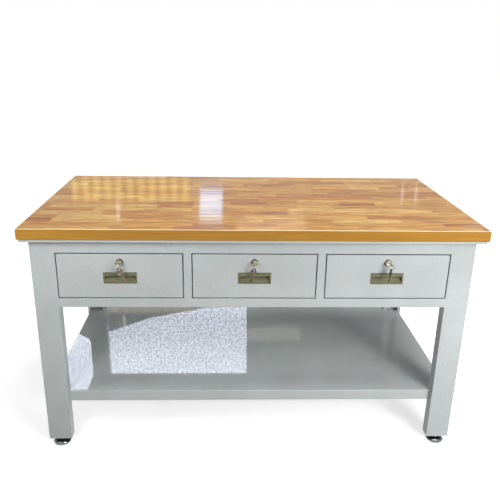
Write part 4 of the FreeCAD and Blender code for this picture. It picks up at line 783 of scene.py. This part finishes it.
# the key gives the keys their crisp shadows, the top lights the board, the side, fill and
# back lamps lift the low and far faces, and the raking lamp stays weak; each has its place,
# its target and its size in metres, and its watts
lamps = {
    "keySoftbox": ((1.9, -3.0, 2.1), (0.1, -0.2, 0.5), (0.3, 0.3), 23.0),
    "topSoftbox": ((0.5, 0.1, 3.0), (0.1, 0.0, 0.8), (2.2, 1.6), 62.0),
    "frontSoftbox": ((0.3, -3.2, 2.3), (0.0, -0.2, 0.5), (1.8, 0.8), 1.5),
    "ceilingSoftbox": ((0.9, -2.3, 3.1), (0.1, -0.2, 0.5), (2.0, 1.0), 6.0),
    "sideSoftbox": ((1.3, -1.7, 0.95), (0.95, -0.3, 0.25), (1.0, 0.8), 21.0),
    "fillSoftbox": ((-0.82, -1.2, 1.3), (-0.85, -0.3, 0.7), (0.3, 0.4), 5.8),
    "backSoftbox": ((0.3, 3.2, 0.95), (0.0, 0.3, 0.65), (1.6, 0.8), 14.0),
    "rakingLamp": ((-4.0, -1.75, 1.95), (0.0, -0.3, 0.7), (0.15, 0.15), 18.0),
}
unmirrored = ("sideSoftbox", "fillSoftbox", "backSoftbox")  # they would show as hard squares on the shelf

# cards that only show in reflections: a wall behind the bench that pales towards the floor,
# a dim room in front of it, and behind it a lattice, a window with its head, light slits,
# glints, and the two panes that the shelf mirrors; each has its plane, its outline there and
# the spacing of its bars or the size of its specks in metres, its glow at the foot and at
# the head, and its tint; the panes' specks are coarser than a coat breaks them, so they show
speckGlow = {"noise": (0.44, 0.54), "glow": (0.6, 1.32)}  # noise span, and shares of the glow there
barGlow = 0.35                                            # share of the glow behind a bar

cards = {
    "wallCard": {
        "plane": 3.65, "glow": (0.6, 0.14), "tint": "#FFFFFF",
        "outline": [(-9, 0), (9, 0), (9, 3.3), (-9, 3.3)],
    },
    "roomCard": {
        "plane": -4.2, "glow": (0.1, 0.1), "tint": "#FFFFFF",
        "outline": [(-7, 0), (7, 0), (7, 2.3), (-7, 2.3)],
    },
    "latticeCard": {
        "plane": 3.5, "glow": (2.3, 2.3), "tint": "#FFE6A6", "lattice": (0.11, 0.07),
        "outline": [(-1.62, 1.57), (-0.45, 1.57), (-0.45, 1.78), (-1.62, 1.79)],
    },
    "windowCard": {
        "plane": 3.5, "glow": (3.5, 3), "tint": "#B4DAFF",
        "outline": [(-0.345, 1.7), (-0.122, 1.7), (-0.127, 1.99), (-0.36, 1.99)],
    },
    "windowHead": {
        "plane": 3.5, "glow": (0.2, 0.7), "tint": "#D0E4FF",
        "outline": [(-0.33, 1.57), (-0.12, 1.57), (-0.12, 1.7), (-0.345, 1.7)],
    },
    "leftSlit": {
        "plane": 3.48, "glow": (1.9, 1.9), "tint": "#FFFFFF",
        "outline": [(-1.185, 1.83), (-1.155, 1.83), (-1.16, 1.97), (-1.19, 1.97)],
    },
    "rightSlit": {
        "plane": 3.5, "glow": (1.5, 1.5), "tint": "#FFFFFF",
        "outline": [(1.69, 1.61), (1.71, 1.61), (1.715, 1.8), (1.695, 1.8)],
    },
    "farSlit": {
        "plane": 3.5, "glow": (1.5, 1.5), "tint": "#FFFFFF",
        "outline": [(1.83, 1.62), (1.85, 1.62), (1.855, 1.81), (1.835, 1.81)],
    },
    "lowGlint": {
        "plane": 3.5, "glow": (1, 1), "tint": "#FFF8EA", "specks": 0.05,
        "outline": [(0, 2.01), (0.7, 1.95), (0.75, 2.14), (0.1, 2.14)],
    },
    "cornerGlint": {
        "plane": 3.5, "glow": (1, 1), "tint": "#FFFFFF", "specks": 0.02,
        "outline": [(2.35, 2.04), (2.65, 2.04), (2.65, 2.12), (2.4, 2.12)],
    },
    "shelfPane": {
        "plane": 0.62, "glow": (4.6, 6.8), "tint": "#E8EDFF", "specks": 0.0105,
        "outline": [(-0.722, 0.485), (-0.486, 0.397), (-0.223, 0.345), (0.018, 0.327), (0.023, 0.738),
                    (-0.731, 0.738)],
    },
    "outerPane": {
        "plane": 0.62, "glow": (6.8, 6.8), "tint": "#E8EDFF", "specks": 0.0105,
        "outline": [(-0.95, 0.581), (-0.86, 0.49), (-0.81, 0.52), (-0.782, 0.6), (-0.775, 0.68),
                    (-0.785, 0.76), (-0.8, 0.83), (-0.98, 0.83)],
    },
}


def makeCard(name, s):
    build = bmesh.new()
    build.faces.new([build.verts.new((x, s["plane"], z)) for x, z in s["outline"]])
    mesh = bpy.data.meshes.new(name)
    build.to_mesh(mesh)
    build.free()
    material = bpy.data.materials.new(name + "Paper")
    material.use_nodes = True
    tree = material.node_tree
    tree.nodes.clear()
    place = addNode(tree, "ShaderNodeTexCoord").outputs["Object"]
    x, _, z = addNode(tree, "ShaderNodeSeparateXYZ", None, {0: place}).outputs
    strength = addNode(tree, "ShaderNodeMapRange", None,
                       {"Value": z, "From Min": s["outline"][0][1], "From Max": s["outline"][-1][1],
                        "To Min": s["glow"][0], "To Max": s["glow"][1]})
    if "specks" in s:
        fine = addNode(tree, "ShaderNodeMapping", None, {"Vector": place, "Scale": (1 / s["specks"],) * 3})
        specks = addNode(tree, "ShaderNodeTexNoise", None, {"Vector": fine, "Scale": 1.0, "Detail": 1.0})
        low, high = speckGlow["noise"]
        dim, bright = speckGlow["glow"]
        lit = addNode(tree, "ShaderNodeMapRange", None,
                      {"Value": specks, "From Min": low, "From Max": high, "To Min": dim, "To Max": bright})
        strength = addNode(tree, "ShaderNodeMath", {"operation": "MULTIPLY"}, {0: strength, 1: lit})
    for reach, step in zip((x, z), s.get("lattice", ())):
        bar = addNode(tree, "ShaderNodeMath", {"operation": "PINGPONG"}, {0: reach, 1: step / 2})
        clear = addNode(tree, "ShaderNodeMapRange", None,
                        {"Value": bar, "From Max": step / 2, "To Min": barGlow})
        strength = addNode(tree, "ShaderNodeMath", {"operation": "MULTIPLY"}, {0: strength, 1: clear})
    glow = addNode(tree, "ShaderNodeEmission", None, {"Color": hexColor(s["tint"]), "Strength": strength})
    addNode(tree, "ShaderNodeOutputMaterial", None, {"Surface": glow})
    mesh.materials.append(material)
    card = bpy.data.objects.new(name, mesh)
    card.visible_camera = card.visible_diffuse = card.visible_shadow = card.visible_transmission = False
    bpy.context.scene.collection.objects.link(card)
    return card


makeFloor(studio)
makeWorld(studio)
for title, (place, target, size, energy) in lamps.items():
    addLamp(title, place, target, size, energy)
for title, settings in cards.items():
    makeCard(title, settings)

viewpoint = {
    "place": (-0.09936, -2.07343, 1.39116),
    "heading": -1.9590, "tilt": -18.6450, "roll": -0.92386,        # degrees
    "focal": 570.474, "centre": (243.108, 235.388), "frame": 500,  # pixels
    "sensor": 36.0, "reach": 60,                                   # mm, m
}


def makeCamera(s):
    data = bpy.data.cameras.new("bench camera")
    data.sensor_width = s["sensor"]
    data.lens = s["focal"] * data.sensor_width / s["frame"]
    data.shift_x = (s["frame"] / 2 - s["centre"][0]) / s["frame"]
    data.shift_y = (s["centre"][1] - s["frame"] / 2) / s["frame"]
    data.clip_end = s["reach"]
    camera = bpy.data.objects.new("bench camera", data)
    turned = (Matrix.Rotation(math.radians(s["heading"]), 4, "Z") @ Matrix.Rotation(math.radians(s["tilt"]), 4, "X")
              @ Matrix.Rotation(math.radians(s["roll"]), 4, "Y") @ Matrix.Rotation(math.radians(90), 4, "X"))
    camera.matrix_world = Matrix.Translation(s["place"]) @ turned
    bpy.context.scene.collection.objects.link(camera)
    bpy.context.scene.camera = camera


makeCamera(viewpoint)
bpy.context.scene.view_settings.view_transform = "Standard"
print("studio ready")
